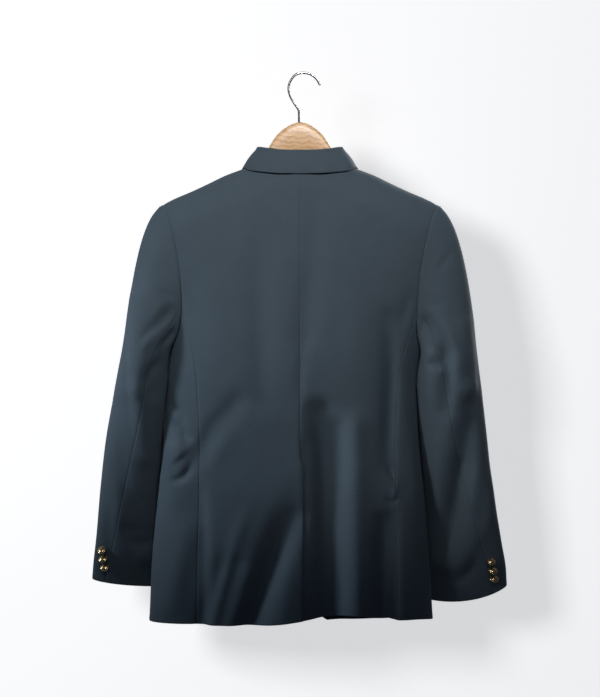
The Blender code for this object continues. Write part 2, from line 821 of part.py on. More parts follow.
def turned(name, place, axis, profile, segments, colour):
    """A turned piece. Its profile lists radius and height, from the middle below to the middle above."""
    axis = np.array(axis) / np.linalg.norm(axis)
    first = np.cross(axis, (0.3, 0.2, 1))
    first /= np.linalg.norm(first)
    second = np.cross(axis, first)
    points, faces, ring = [place + axis * profile[0][1]], [], []
    for radius, height in profile[1:-1]:
        start = len(points)
        for k in range(segments):
            a = 2 * math.pi * k / segments
            points.append(place + axis * height + (first * math.cos(a) + second * math.sin(a)) * radius)
        ring.append(start)
    points.append(place + axis * profile[-1][1])
    last = len(points) - 1
    for k in range(segments):
        m = (k + 1) % segments
        faces.append((0, ring[0] + m, ring[0] + k))
        faces.append((last, ring[-1] + k, ring[-1] + m))
        for low, high in zip(ring, ring[1:]):
            faces.append((low + k, low + m, high + m, high + k))
    obj = solid(name, points, faces)
    paint(obj, colour, 0.3, 1.0)
    return obj


def buttonProfile(radius, stem):
    """A domed button on its shank, with a rolled rim."""
    return [
        (0, -stem),
        (1.8, -stem),
        (1.8, 0),
        (radius - 0.7, 0.0),
        (radius, 0.7),
        (radius - 0.9, 1.5),
        (radius * 0.62, 2.5),
        (0, 3.0),
    ]


def makeBody():
    rows = panelRows(12, 11)
    below = rows[rows <= joinShare + 1e-9] / joinShare
    for side, hand in ((1, "left"), (-1, "right")):
        cloth(f"back_{hand}", backPanel(side), 12, rows, side, facing=-1)
        cloth(f"front_{hand}", frontPanel(side), 10, rows, side)
        cloth(f"side_{hand}", sidePanel(side), 8, below, side, facing=-1)
        cloth(f"lapel_{hand}", lapel(side), 5, 12, side)


def makeSleeves():
    for side, hand in ((1, "left"), (-1, "right")):
        cloth(f"top_sleeve_{hand}", sleevePart(side, True), 9, 21, side)
        cloth(f"under_sleeve_{hand}", sleevePart(side, False), 7, 21, side)


def makeCollar():
    outer = collarPoints(np.linspace(-1, 1, 33))
    clothFrom("collar", outer, normals(outer))


def makePockets():
    flap = [(62, -704), (166, -696), (166, -650), (62, -656)]
    for side, hand in ((1, "left"), (-1, "right")):
        cloth(f"pocket_flap_{hand}", laidOn(side, flap, flapRaise + flapThick), 6, 3, side, flapThick)
    welt = [(92, -424), (166, -414), (166, -390), (92, -400)]
    cloth("breast_welt", laidOn(1, welt, flapRaise + flapThick), 5, 2, 1, flapThick)


def makeButtons():
    along, turns = np.meshgrid(np.linspace(0.8, 1, 60), np.linspace(0, 120, 90), indexing="ij")
    for side, hand in ((1, "left"), (-1, "right")):
        cuff = onSleeve(side, along, turns)
        for number, (x, z) in enumerate(cuffButtons[side], 1):
            away = np.hypot(cuff[..., 0] - x, cuff[..., 2] - z)
            nearest = np.unravel_index(np.argmin(away), away.shape)
            spot = along[nearest], turns[nearest]
            place = onSleeve(side, *map(np.array, spot))
            axis = onSleeve(side, *map(np.array, spot), 1.0) - place
            axis = axis / np.linalg.norm(axis)
            tilted = axis + (0, 0, cuffButtonTilt)
            tilted /= np.linalg.norm(tilted)
            place = place + axis * cuffLift + tilted * cuffShank
            name = f"button_cuff_{hand}_{number}"
            turned(name, place, tilted, buttonProfile(cuffButtonRadius, cuffShank), 12, brassColour)
    for number, z in enumerate(frontButtons, 1):
        place = onBody(np.array(0.0), np.array(z), -1)
        axis = onBody(np.array(0.0), np.array(z), -1, np.array(1.0)) - place
        profile = buttonProfile(frontButtonRadius, frontShank)
        turned(f"button_front_{number}", place + axis * (lift + frontShank), axis, profile, 14, brassColour)


def tube(name, rings):
    """A solid through rings of points, closed at its ends."""
    count, around = rings.shape[:2]
    index = np.arange(count * around).reshape(count, around)
    faces = [tuple(index[0][::-1]), tuple(index[-1])]
    for i in range(count - 1):
        for k in range(around):
            m = (k + 1) % around
            faces.append((index[i, k], index[i, m], index[i + 1, m], index[i + 1, k]))
    return solid(name, rings.reshape(-1, 3), faces)


def makeHanger():
    reach = np.array([0, 12, 25, 40, 52, 62, 72, 90, 108, 125, 140, 155, 169, 183, 194, 203, 211], float)
    stations = np.concatenate([-reach[:0:-1], reach])
    turns = np.linspace(0, 2 * math.pi, 12, endpoint=False) + math.pi / 12
    rings = []
    for x in stations:
        columns = list(hangerRows)[1:]
        top, tall, thick, fore = [through(hangerRows["x"], hangerRows[n], abs(x)) for n in columns]
        if abs(x) > 80:
            top = min(top, shoulderAt(x) - wall - restGap)
        square = 0.85
        y = np.sign(np.cos(turns)) * np.abs(np.cos(turns)) ** square * thick + fore
        z = top - tall / 2 + np.sign(np.sin(turns)) * np.abs(np.sin(turns)) ** square * tall / 2
        rings.append(np.stack([0 * y + x, y, z], -1))
    wood = tube("hanger_wood", np.array(rings))
    paint(wood, woodColour, 0.45)
    path = np.array(hookPath)
    far = np.concatenate([[0], np.cumsum(np.hypot(*np.diff(path, axis=0).T))])
    steps = np.linspace(0, far[-1], 34)
    x, z = through(far, path[:, 0], steps), through(far, path[:, 1], steps)
    along = np.stack([np.gradient(x), np.gradient(z)], -1)
    along /= np.linalg.norm(along, axis=-1, keepdims=True)
    turns = np.linspace(0, 2 * math.pi, 8, endpoint=False)
    rings = []
    for px, pz, (dx, dz) in zip(x, z, along):
        rings.append(
            np.stack(
                [
                    px + dz * np.cos(turns) * wireRadius,
                    np.sin(turns) * wireRadius,
                    pz - dx * np.cos(turns) * wireRadius,
                ],
                -1,
            )
        )
    hook = tube("hanger_hook", np.array(rings))
    paint(hook, steelColour, 0.25, 1.0)
    foot = np.array([hookPath[0][0], 0, hookPath[0][1] - 2])
    bore = [(0, 0), (hookHoleRadius, 0), (hookHoleRadius, 30), (0, 30)]
    hole = turned("hook_hole", foot, (0, 0, 1), bore, 12, woodColour)
    hole.hide_render = True
    hole.display_type = "WIRE"
    cut = wood.modifiers.new("hook hole", "BOOLEAN")
    cut.operation = "DIFFERENCE"
    cut.object = hole


makeBody()
makeSleeves()
makeCollar()
makePockets()
makeButtons()
makeHanger()
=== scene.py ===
import json
import math

import bpy
import numpy as np
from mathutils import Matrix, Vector


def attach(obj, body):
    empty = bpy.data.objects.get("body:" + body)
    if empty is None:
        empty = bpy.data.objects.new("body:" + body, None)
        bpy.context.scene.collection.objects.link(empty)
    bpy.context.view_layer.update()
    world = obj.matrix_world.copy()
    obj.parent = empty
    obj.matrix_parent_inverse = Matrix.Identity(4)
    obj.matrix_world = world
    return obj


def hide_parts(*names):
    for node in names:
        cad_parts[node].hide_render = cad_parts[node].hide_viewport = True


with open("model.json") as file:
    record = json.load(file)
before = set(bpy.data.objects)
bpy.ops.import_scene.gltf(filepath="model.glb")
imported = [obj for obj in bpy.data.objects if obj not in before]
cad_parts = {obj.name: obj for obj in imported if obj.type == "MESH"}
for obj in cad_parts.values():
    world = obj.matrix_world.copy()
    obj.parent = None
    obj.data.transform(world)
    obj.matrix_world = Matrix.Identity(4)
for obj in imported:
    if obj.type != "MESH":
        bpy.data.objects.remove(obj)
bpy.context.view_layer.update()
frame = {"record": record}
print("frame loaded")

# Everything below is in millimetres. The origin is where the hook bears on its rail,
# +Z is up, the back of the blazer faces +Y and the wearer's left is +X.
metre = 0.001
garmentMiddle = 6.7  # the garment's centre line stands this far to the left of the hook's bearing point
wall = 2.0
ridgeGap = 0.5  # half the gap along the shoulder seam
lift = 0.4  # gap under a piece that lies on another
flapThick = 1.6
flapRaise = 0.9  # flaps and welt stand this far off the front, whose faceted wall bulges between them

boxy = 2.5  # how square the body's sections are, 2 being an ellipse
ridge = 1.8  # how round the shoulder is from front to back
shoulderDrop = 65.0  # the depth of cloth under the shoulder line that rounds over

ventTop = -645.0
ventLap = 5.5  # the left back reaches this far past the centre at the vent
ventUnder = 38.0  # the right back reaches this far under it
ventStep = 7.0  # the vent opens over this height above and below its top
sunkTop = -600.0  # from here down, over 35 mm, the right back lies one cloth in under the left one
sunkFrom = -24.0  # and from here to the left, over 17 mm
frontLap = 20.0  # each front reaches this far past the centre
cutaway = [(46, -929), (38, -924), (24, -908), (10, -884), (-2, -850), (-11, -810), (-16, -760)]
closedFrom = -690.0  # the front's edge runs straight above this, up to the break
breakHeight = -548.0  # where the lapels start to roll
neckPoint = 76.0
backNeck = -160.0
backHemMiddle = -906.0
joinShare = 0.66  # the share of a panel's height at which its side seam meets the armhole
hipLevel = -912.0  # where the side seams meet the hem
creaseFade = 0.4  # the share of its length over which a crease fades
foldFade = 25.0  # folds fade where the cloth comes this near to the body's side
shoulderRound = 50.0  # how far from the ridge the shoulder's rounding reaches, front and back
armpitLevel = -395.0  # the sleeves are led clear of the body below this
neckRise = 2.5  # how late the neck's line rises towards its point


def table(names, rows):
    return dict(zip(names.split(), np.array(rows, float).T))


# A row for each level of the body
body = table(
    "z half back front shift",
    [
        (-110, 262, 46, 44, 0), (-160, 258, 52, 48, 0), (-210, 250, 61, 56, 0),
        (-260, 243, 69, 63, 0), (-320, 233, 76, 69, 0), (-400, 219, 79, 74, 1.5),
        (-466, 211, 78, 75, 8), (-510, 210, 76, 74, 14), (-560, 211, 72, 72, 15),
        (-620, 214, 69, 70, 15), (-700, 222, 72, 71, 15), (-800, 231, 77, 74, 16),
        (-905, 237, 81, 77, 15), (-945, 239, 82, 78, 15),
    ],
)

# The line along the top of the shoulder, from the middle of the neck outwards
shoulder = table(
    "x z",
    [
        (0, -116), (40, -134), (76, -151), (96, -159.5), (126, -171), (154, -184.6), (183, -198),
        (214, -211.4), (228, -219), (245, -232), (262, -247),
    ],
)

# The armhole, a row for each turn round it: 0 at the shoulder tip, 90 at the back, 180 under the arm
armhole = table(
    "turn out z",
    [
        (-205, 205, -457), (-180, 211, -467), (-155, 203, -456), (-130, 190, -427),
        (-100, 183, -380), (-75, 186, -334), (-50, 199, -281), (-25, 218.5, -237), (0, 228, -219.5),
        (25, 221, -237), (50, 208, -281), (75, 198.5, -334), (100, 194.5, -384), (130, 196, -430),
        (155, 204, -456), (180, 211, -467), (205, 203, -456),
    ],
)
backJoin = 108.0  # the turns where the side panel's two seams meet the armhole
frontJoin = -112.0
shiftShare = {"back": 0.27, "front": 0.8}  # how much of the body's shift each side seam follows
seamLead = 90.0  # the height over which a side seam is led into the armhole

# How far out from the centre the side panel's seams run
sideSeams = table(
    "z back front",
    [
        (-400, 192, 188), (-440, 181, 184), (-480, 171, 181), (-560, 163, 178), (-700, 162, 180),
        (-800, 164, 186), (-920, 166, 190),
    ],
)

# The hem of the back, across from the wearer's right to the left, and of the fronts
backHem = table(
    "x z",
    [
        (-225, -914), (-205, -917), (-170, -908), (-130, -901), (-75, -897), (-30, -901), (0, -906),
        (52, -912), (110, -913.5), (208, -911), (250, -908),
    ],
)
frontHem = table("x z", [(0, -929), (45, -929), (110, -926), (190, -918), (255, -911)])

# The largest folds. Each runs from x0,z0 to x1,z1: out of the cloth where high is over 0, into it under 0
foldNames = "x0 z0 x1 z1 wide high"
backFolds = table(
    foldNames,
    [
        (-31, -215, -6, -443, 20, -3.5), (-147, -411, -146, -650, 17, -4.5),
        (-34, -565, -34, -915, 20, -9), (-62, -590, -66, -915, 18, -6),
        (-90, -590, -88, -915, 22, 6),
        (-136, -745, -134, -915, 17, -7), (-172, -720, -176, -915, 15, 3),
        (8, -735, 84, -915, 18, -5), (104, -815, 134, -915, 16, -4), (181, -760, 216, -880, 22, 4),
        (104, -549, 166, -640, 17, -3.5), (199, -624, 203, -640, 24, 5),
        (65, -300, 62, -540, 24, -2),
    ],
)
frontFolds = table(
    foldNames,
    [
        (118, -470, 96, -640, 24, -4), (40, -600, 104, -800, 20, -4),
        (-52, -610, -120, -830, 22, -4), (-120, -480, -104, -640, 24, -4),
        (150, -740, 158, -915, 22, -4), (-146, -760, -160, -915, 22, -4),
        (90, -800, 96, -925, 24, 4), (-60, -700, -66, -925, 24, 3),
    ],
)

# The creases, a row for each: its width, its height (under 0 a trough), how much wider it is on the left
# than on the right, at how many ends it fades, and then the x and z of each point that it runs through
backCreases = [
    (9, -1.8, 0, 2, -8, -430, -1, -500, 3, -566),
    (12, -4.5, 0.2, 2, -144, -392, -152, -500, -148, -600, -146, -690),
    (25, -12, -0.3, 1, -22, -540, -42, -640, -48, -760, -50, -915),
    (16, 4, 0, 1, -62, -600, -66, -700, -66, -800, -68, -915),
    (15, -8, 0.2, 1, -150, -715, -140, -800, -142, -915),
    (24, -11, -0.1, 1, 6, -660, 34, -770, 66, -860, 84, -915),
    (12, 2.5, 0, 1, 70, -690, 104, -770, 126, -850, 142, -915),
    (13, -5, 0.2, 1, 114, -770, 136, -840, 160, -915), (22, 3, 0, 1, 28, -640, 22, -760, 30, -915),
    (11, -1.4, 0, 2, 108, -545, 150, -592, 168, -650), (18, 2, 0, 2, 100, -580, 134, -622, 150, -676),
    (24, -8, 0.5, 1, 170, -650, 162, -760, 160, -915), (6, -4.5, 0, 2, 222, -542, 200, -566, 186, -588),
    (6, -4.5, 0, 2, 218, -574, 198, -598, 178, -624), (6, 2.5, 0, 2, 208, -560, 192, -582),
    (4.5, -3, 0, 2, 196, -585, 188, -604, 172, -611), (15, 5.5, 0, 2, 222, -606, 206, -632, 196, -646),
    (7, -5, 0, 2, 224, -682, 192, -672, 174, -640), (6, -4, 0, 2, -144, -650, -158, -682),
    (5, 2.6, 0, 2, -154, -684, -158, -708), (4, -2.6, 0, 2, -134, -710, -163, -715),
    (10, 2, 0, 2, -186, -560, -192, -700, -190, -860), (20, -1.6, 0, 2, 70, -250, 66, -400, 60, -560),
    (22, 1.6, 0, 2, 150, -300, 140, -420, 132, -520), (24, 1.6, 0, 2, -80, -280, -92, -420, -96, -540),
    (9, -1.6, 0, 2, 188, -330, 176, -390, 150, -430), (9, -2, 0, 2, -186, -350, -172, -400, -158, -450),
    (9, -0.9, 0, 2, -60, -172, 0, -181, 62, -172),
]
frontCreases = [
    (9, -2.6, 0, 2, 6, -562, 52, -590, 110, -640), (10, -2.2, 0, 2, 10, -548, 64, -540, 128, -500),
    (9, -2.4, 0, 2, -6, -562, -60, -596, -116, -652), (10, -2.2, 0, 2, -10, -550, -66, -536, -132, -506),
    (11, -2.6, 0, 2, 186, -330, 170, -400, 140, -452),
    (11, -2.4, 0, 2, -186, -330, -168, -404, -144, -448),
    (6, -3.4, 0, 2, 206, -566, 184, -590, 160, -604), (6, -3.2, 0, 2, -204, -560, -186, -596, -158, -612),
    (14, -3.6, 0.2, 1, 128, -712, 142, -800, 146, -925),
    (15, -3.8, -0.2, 1, -122, -716, -136, -810, -142, -925), (18, 3, 0, 1, 60, -690, 66, -800, 78, -925),
    (18, 3, 0, 1, -50, -690, -62, -800, -70, -925), (12, 2.6, 0, 1, 190, -720, 188, -820, 196, -925),
]
sleeveCreases = {
    1: [
        (5, -2.6, 0, 2, 240, -362, 220, -372, 202, -382), (9, -5, 0, 2, 204, -384, 232, -418, 268, -458),
        (7, -5, 0, 2, 200, -424, 216, -444, 236, -470), (8, 2.6, 0, 2, 222, -404, 246, -440, 262, -476),
        (9, -4.5, 0, 2, 226, -474, 246, -500, 262, -540), (9, -3, 0, 2, 286, -400, 290, -500, 278, -640),
        (12, 3, 0, 2, 244, -560, 240, -640, 250, -720), (12, 2.5, 0, 2, 300, -640, 306, -720, 300, -790),
        (13, -4, 0, 2, 284, -690, 270, -740, 240, -778), (7, -4.5, 0, 2, 300, -776, 270, -790, 238, -784),
        (11, 3.5, 0, 2, 284, -806, 262, -816, 246, -810), (9, -2, 0, 2, 318, -700, 322, -790, 318, -850),
    ],
    -1: [
        (7, -2.2, 0, 2, -257, -294, -240, -316, -222, -338),
        (6, -1.6, 0, 2, -202, -386, -226, -388, -248, -384),
        (8, -5, 0.35, 2, -208, -404, -238, -448, -247, -500, -248, -575),
        (10, 3, 0, 2, -226, -400, -250, -440, -262, -500, -262, -580),
        (5, 3.2, 0, 2, -206, -464, -222, -470, -240, -482),
        (5, -4, 0, 2, -204, -482, -220, -488, -234, -500),
        (9, -3, 0, 2, -290, -400, -300, -480, -298, -600),
        (18, -13, 0.2, 2, -290, -520, -278, -640, -262, -740, -244, -812),
        (12, 3, 0, 2, -320, -640, -320, -720, -308, -790),
        (13, 3, 0, 2, -232, -580, -230, -680, -234, -780),
        (11, 4, 0, 2, -250, -826, -272, -820, -300, -780),
        (7, -3, 0, 2, -246, -850, -276, -846, -304, -812),
    ],
}
# The same sleeves on the side that faces forward
sleeveFrontCreases = {
    1: [
        (9, -4, 0, 2, 206, -396, 232, -436, 250, -484), (9, 2.6, 0, 2, 210, -440, 240, -486, 256, -540),
        (10, -3.6, 0, 2, 220, -560, 262, -600, 300, -612),
        (10, -3, 0, 2, 226, -640, 266, -664, 306, -656), (11, 2.4, 0, 2, 232, -600, 270, -634, 300, -636),
        (12, -3.4, 0, 2, 292, -700, 270, -760, 244, -800),
    ],
    -1: [
        (9, -3.8, 0, 2, -206, -390, -230, -440, -246, -492),
        (9, 2.4, 0, 2, -212, -436, -238, -480, -258, -530),
        (10, -3.4, 0, 2, -218, -570, -256, -606, -292, -620),
        (10, -3.2, 0, 2, -222, -650, -260, -672, -300, -668),
        (12, -3.4, 0, 2, -288, -710, -266, -770, -242, -812),
    ],
}

# The sleeves' outer edges, as seen from behind
sleeveEdge = table(
    "z left right",
    [
        (-490, 299, 298), (-544, 312, 306), (-614, 327, 315), (-700, 338, 325), (-780, 345, 338),
        (-850, 352, 348), (-900, 353, 350),
    ],
)

# The sleeves below the arm: half width and half depth of the section, how far forward
# its middle lies, its turn in degrees and how much higher its outer edge is
ringNames = "z wide deep fore yaw slope"
sleeveRings = {
    1: table(
        ringNames,
        [
            (-505, 46, 63, -8, 0, 26), (-600, 56, 51, -22, 8, 10), (-700, 61, 41, -33, 12, 5),
            (-800, 64, 30, -40, 14, 6), (-858, 66, 21, -46, 16, 8), (-872, 66, 20, -46, 16, 8),
        ],
    ),
    -1: table(
        ringNames,
        [
            (-505, 57, 65, -8, 0, 26), (-600, 61, 52, -16, 4, 10), (-700, 59, 42, -20, 6, 5),
            (-800, 64, 30, -24, 8, 9), (-884, 66.5, 21, -28, 8, 13), (-900, 66.5, 20, -28, 8, 13),
        ],
    ),
}
cuffLevel = {1: -861.0, -1: -884.0}
cuffDip = {1: 2.0, -1: 10.0}  # the cuff hangs this much lower between its two edges than at them
capShare = 0.42  # the share of the sleeve's rows that lies above its first ring
capEased = 0.12  # the share of the rows over which folds and clearance grow from the armhole

# The seams of the two-piece sleeve, in turns, from the armhole to the cuff
sleeveSeams = table("along back front", [(0, 106, -108), (0.42, 96, -112), (1, 60, -122)])

sleeveFolds = {
    1: table(
        foldNames,
        [
            (223, -470, 240, -530, 14, -5), (271, -381, 268, -528, 15, 4),
            (268, -528, 257, -640, 15, 4), (288, -766, 236, -782, 13, -4),
            (300, -560, 296, -700, 16, -3),
        ],
    ),
    -1: table(
        foldNames,
        [
            (-204, -420, -236, -470, 15, -6), (-236, -470, -240, -561, 15, -5),
            (-270, -422, -279, -525, 15, 4), (-279, -525, -274, -634, 15, 4),
            (-281, -560, -242, -800, 18, -5), (-246, -826, -292, -776, 16, 4),
        ],
    ),
}

# The collar, from the centre back to the notch: the height of its stand, the radius of
# its fold and where the edge of its fall lies
collarRows = table(
    "along stand round edgeX edgeY edgeZ",
    [
        (0, 25, 3.4, 0, 57, -172.6), (0.25, 25.5, 3.4, 50, 50, -170), (0.42, 26, 3.4, 88, 24, -163),
        (0.5, 26, 3.4, 97, 0, -158.5), (0.58, 25, 3.4, 101, -22, -163),
        (0.75, 18, 3.2, 108, -44, -180), (0.9, 8, 3.0, 115, -52, -192),
        (1, 3.5, 2.8, 119, -54, -198),
    ],
)
gorge = (61.6, -205.0)
notch = (99.0, -224.0)
lapelTip = (143.0, -243.0)
lapelOutline = [(-14, breakHeight - 3), (32, -468), (82, -378), (121, -300), (138, -262), lapelTip]

cuffButtonRadius = 7.5
cuffButtons = {
    1: [(332.0, -802.5), (330.4, -817.3), (328.4, -832.1)],
    -1: [(-319.6, -820.5), (-322.6, -835.1), (-324.6, -849.7)],
}
cuffButtonTilt = 0.85
cuffShank = 4.0
cuffLift = 0.85
frontButtonRadius = 10.0
frontButtons = [-560.0, -665.0]
frontShank = 2.0

# The wooden hanger, a row for each slice outwards: its top, its height, its half thickness
# and how far its arm bows forward
hangerRows = table(
    "x top tall thick fore",
    [
        (0, -80.5, 62, 6.5, 0), (12, -83.5, 60, 6.5, 0), (25, -90.6, 56, 6.5, 0),
        (40, -104.0, 47, 6.5, 0), (52, -122.5, 36, 7, 0), (62, -140, 30, 7.5, 0),
        (72, -153.5, 26, 8, 0), (90, -157, 25, 9, 0), (125, -170, 24, 10, 0),
        (155, -184, 23, 11, 0), (183, -197, 22, 11, 0.5), (203, -205, 20, 9.5, 0.5),
        (211, -214, 14, 7, 0.5),
    ],
)
restGap = 1.1  # between the cloth's inside and the arms of the hanger, where the faceted wall dips least
woodSquare = 0.8  # how rounded the wood's section is, 1 being an ellipse and 0 a rectangle
armStart = 80.0  # the arms lie under the cloth of the shoulders from here outwards
armEnd = [211.0, 211.5, 212.2, 212.6]  # the last slices, close together
armRound = 5.7  # the arm's end is rounded over this length
wireRadius = 2.0
# The hook's wire, from its foot in the wood to its tip, as x and z
hookPath = [
    (1.7, -96.0), (1.7, -72.0), (2.2, -61.0), (9.5, -49.5), (16.8, -36.0), (19.3, -24.0),
    (16.2, -12.0), (7.5, -1.2), (-6.7, 2.0), (-19.8, -1.5), (-29.0, -10.0), (-33.5, -18.5),
]


def smooth(t):
    t = np.clip(t, 0, 1)
    return t * t * (3 - 2 * t)


def unit(vectors):
    return vectors / np.maximum(np.linalg.norm(vectors, axis=-1, keepdims=True), 1e-9)


def hermite(t, start, end, leave, arrive):
    rise = t * t * (3 - 2 * t)
    return (1 - rise) * start + rise * end + t * (1 - t) ** 2 * leave + t * t * (t - 1) * arrive


def through(known, values, at):
    # A smooth curve through a table's rows, level beyond its ends
    if known[0] > known[-1]:
        known, values = known[::-1], values[::-1]
    slopes = np.gradient(values, known)
    at = np.clip(at, known[0], known[-1])
    i = np.clip(np.searchsorted(known, at) - 1, 0, len(known) - 2)
    step = known[i + 1] - known[i]
    return hermite((at - known[i]) / step, values[i], values[i + 1], step * slopes[i], step * slopes[i + 1])


def bodyAt(column, z):
    return through(body["z"], body[column], z)


def shoulderAt(x):
    return through(shoulder["x"], shoulder["z"], np.abs(x))


def offSegment(x, z, x0, z0, x1, z1):
    # Where along the segment it comes nearest, 0..1, how far right of it x lies there, and the distance
    run, fall = x1 - x0, z1 - z0
    t = np.clip(((x - x0) * run + (z - z0) * fall) / (run * run + fall * fall), 0, 1)
    right = x - x0 - t * run
    return t, right, np.hypot(right, z - z0 - t * fall)


def foldsAt(folds, x, z):
    total = 0
    for x0, z0, x1, z1, wide, high in zip(*folds.values()):
        away = offSegment(x, z, x0, z0, x1, z1)[2]
        total = total + high * np.exp(-((away / wide) ** 2))
    return total


def creasesAt(rows, x, z):
    total = 0
    for wide, high, lean, ends, *route in rows:
        route = np.array(route, float).reshape(-1, 2)
        stops = np.linspace(0, 1, 4 * len(route))
        across, down = [through(np.linspace(0, 1, len(route)), c, stops) for c in route.T]
        best = share = rightward = np.full(np.broadcast(x, z).shape, 1e9)
        for i in range(len(stops) - 1):
            t, right, away = offSegment(x, z, across[i], down[i], across[i + 1], down[i + 1])
            nearer = away < best
            best = np.where(nearer, away, best)
            share = np.where(nearer, (i + t) / (len(stops) - 1), share)
            rightward = np.where(nearer, right, rightward)
        width = wide * (1 + lean * rightward / np.maximum(best, 0.5))
        height = high * smooth(share / creaseFade)
        if ends == 2:
            height = height * smooth((1 - share) / creaseFade)
        total = total + height * np.exp(-((best / width) ** 2))
    return total


def bodyFolds(x, z, facing):
    folds, creases = (backFolds, backCreases) if facing > 0 else (frontFolds, frontCreases)
    return foldsAt(folds, x, z) + creasesAt(creases, x, z)


def flatness(x, z, least):
    # The share of the body's full depth that its section has at x
    across = np.abs(x - bodyAt("shift", z)) / bodyAt("half", z)
    return np.maximum(least, 1 - across**boxy) ** (1 / boxy)


def bodyDepth(x, z, facing):
    # How far the cloth lies behind (facing 1) or before (facing -1) the middle
    under = np.clip((shoulderAt(x) - z) / shoulderDrop, 0, 1)
    over = (1 - (1 - under) ** ridge) ** (1 / ridge)
    return bodyAt("back" if facing > 0 else "front", z) * flatness(x, z, 0) * over


def onBody(x, z, facing, out=0.0):
    # The point of the cloth at x and z, moved out along its normal

    def depth(x, z):
        plain = bodyDepth(x, z, facing)
        return plain + bodyFolds(x, z, facing) * smooth(plain / foldFade)

    here = depth(x, z)
    slopeX = (depth(x + 0.5, z) - depth(x - 0.5, z)) if np.any(out) else 0
    slopeZ = (depth(x, z + 0.5) - depth(x, z - 0.5)) if np.any(out) else 0
    scale = out / np.sqrt(1 + slopeX**2 + slopeZ**2)
    return np.stack([x - slopeX * scale, facing * (here + scale), z - slopeZ * scale], -1)


def armholeAt(turn, side):
    turn = (np.asarray(turn, float) + 180) % 360 - 180
    z = through(armhole["turn"], armhole["z"], turn)
    return side * through(armhole["turn"], armhole["out"], turn) + bodyAt("shift", z), z


def sideSeamAt(z, side, which):
    # The x of a side panel's seam, led into the armhole at its top
    joinX, joinZ = armholeAt(backJoin if which == "back" else frontJoin, side)

    def plain(z):
        return side * through(sideSeams["z"], sideSeams[which], z) + shiftShare[which] * bodyAt("shift", z)

    return plain(z) + (joinX - plain(joinZ)) * smooth((z - joinZ + seamLead) / seamLead)


def hemAt(x, facing):
    if facing > 0:
        return through(backHem["x"], backHem["z"], x)
    return through(frontHem["x"], frontHem["z"], np.abs(x))


def line(points):
    # A function from 0..1 along a run of 2-D points
    points = np.array(points, float)
    far = runs(points, 0)
    far /= far[-1]
    return lambda t: np.stack([np.interp(t, far, points[:, 0]), np.interp(t, far, points[:, 1])], -1)


def spread(left, right, bottom, top, u, w):
    # The patch between four edges, each a function of 0..1
    u, w = u[:, None, None], w[None, :, None]
    sides = (1 - u) * left(w[..., 0]) + u * right(w[..., 0])
    ends = (1 - w) * bottom(u[..., 0]) + w * top(u[..., 0])
    corners = (1 - u) * ((1 - w) * left(0.0) + w * left(1.0)) + u * ((1 - w) * right(0.0) + w * right(1.0))
    return sides + ends - corners


def seamWithArmhole(side, which):
    # A panel's outer edge from the hem up its side seam and round the armhole to the shoulder tip
    join, facing = (backJoin, 1) if which == "back" else (frontJoin, -1)
    joinZ = armholeAt(join, side)[1]
    hem = hemAt(sideSeamAt(hipLevel, side, which), facing)
    x, z = armholeAt(np.linspace(join, 0, 60), side)
    z = np.minimum(z, underShoulder(x, ridgeGap))
    armholeLine = line(np.stack([x, z], -1))

    def edge(t):
        t = np.asarray(t, float)
        height = hem + (joinZ - hem) * np.clip(t / joinShare, 0, 1)
        seamLine = np.stack([sideSeamAt(height, side, which), height], -1)
        above = armholeLine(np.clip((t - joinShare) / (1 - joinShare), 0, 1))
        return np.where((t <= joinShare)[..., None], seamLine, above)

    return edge


def underShoulder(x, y):
    # The height on the rounded shoulder where the cloth is y from the middle
    reach = np.clip(y / shoulderRound, 0, 1)
    return shoulderAt(x) - shoulderDrop * (1 - (1 - reach**ridge) ** (1 / ridge))


def backPanel(side):
    # The points of one back panel as a function of 0..1 from the centre and 0..1 from the hem
    edge = seamWithArmhole(side, "back")
    past = -ventLap if side > 0 else ventUnder
    tipX = edge(1.0)[0]

    def centre(t):
        z = backHemMiddle + (backNeck - backHemMiddle) * np.asarray(t, float)
        opened = smooth((ventTop + ventStep - z) / ((2 if side > 0 else 8) * ventStep))
        x = past * opened
        return np.stack([x, z + (hemAt(x, 1) - backHemMiddle) * smooth(1 - t / 0.1)], -1)

    def hem(t):
        x = centre(0.0)[0] + (edge(0.0)[0] - centre(0.0)[0]) * t
        return np.stack([x, hemAt(x, 1)], -1)

    def top(t):
        x = tipX * np.asarray(t, float)
        rise = underShoulder(neckPoint, ridgeGap) - backNeck
        neck = backNeck + rise * np.clip(np.abs(x) / neckPoint, 0, 1) ** neckRise
        z = np.where(np.abs(x) < neckPoint, neck, underShoulder(x, ridgeGap))
        return np.stack([x, np.where(t == 1, edge(1.0)[1], z)], -1)

    def point(u, w):
        x, z = np.moveaxis(spread(centre, edge, hem, top, u, w), -1, 0)
        sunk = smooth((sunkTop - z) / 35) * smooth((x - sunkFrom) / 17) * (wall + lift) if side < 0 else 0.0
        return onBody(x, z, 1, -sunk)

    return point


def frontPanel(side):
    # The points of one front, from its edge and its roll line out to the side seam and the armhole
    edge = seamWithArmhole(side, "front")
    tip = edge(1.0)
    top = underShoulder(neckPoint, ridgeGap)
    inner = cutaway + [(-frontLap, closedFrom), (-frontLap, breakHeight), (neckPoint, top)]
    centre = line([(side * x, z) for x, z in inner])
    across = np.linspace(0, 1, 40)
    corner = side * cutaway[0][0]
    hemX = corner + (edge(0.0)[0] - corner) * across
    hem = line(np.stack([hemX, hemAt(hemX, -1)], -1))

    def shoulderLine(t):
        x = side * neckPoint + (tip[0] - side * neckPoint) * np.asarray(t, float)
        return np.stack([x, np.where(t == 1, tip[1], underShoulder(x, ridgeGap))], -1)

    def point(u, w):
        x, z = np.moveaxis(spread(centre, edge, hem, shoulderLine, u, w), -1, 0)
        return onBody(x, z, -1, -frontSunk(side, x, z))

    return point


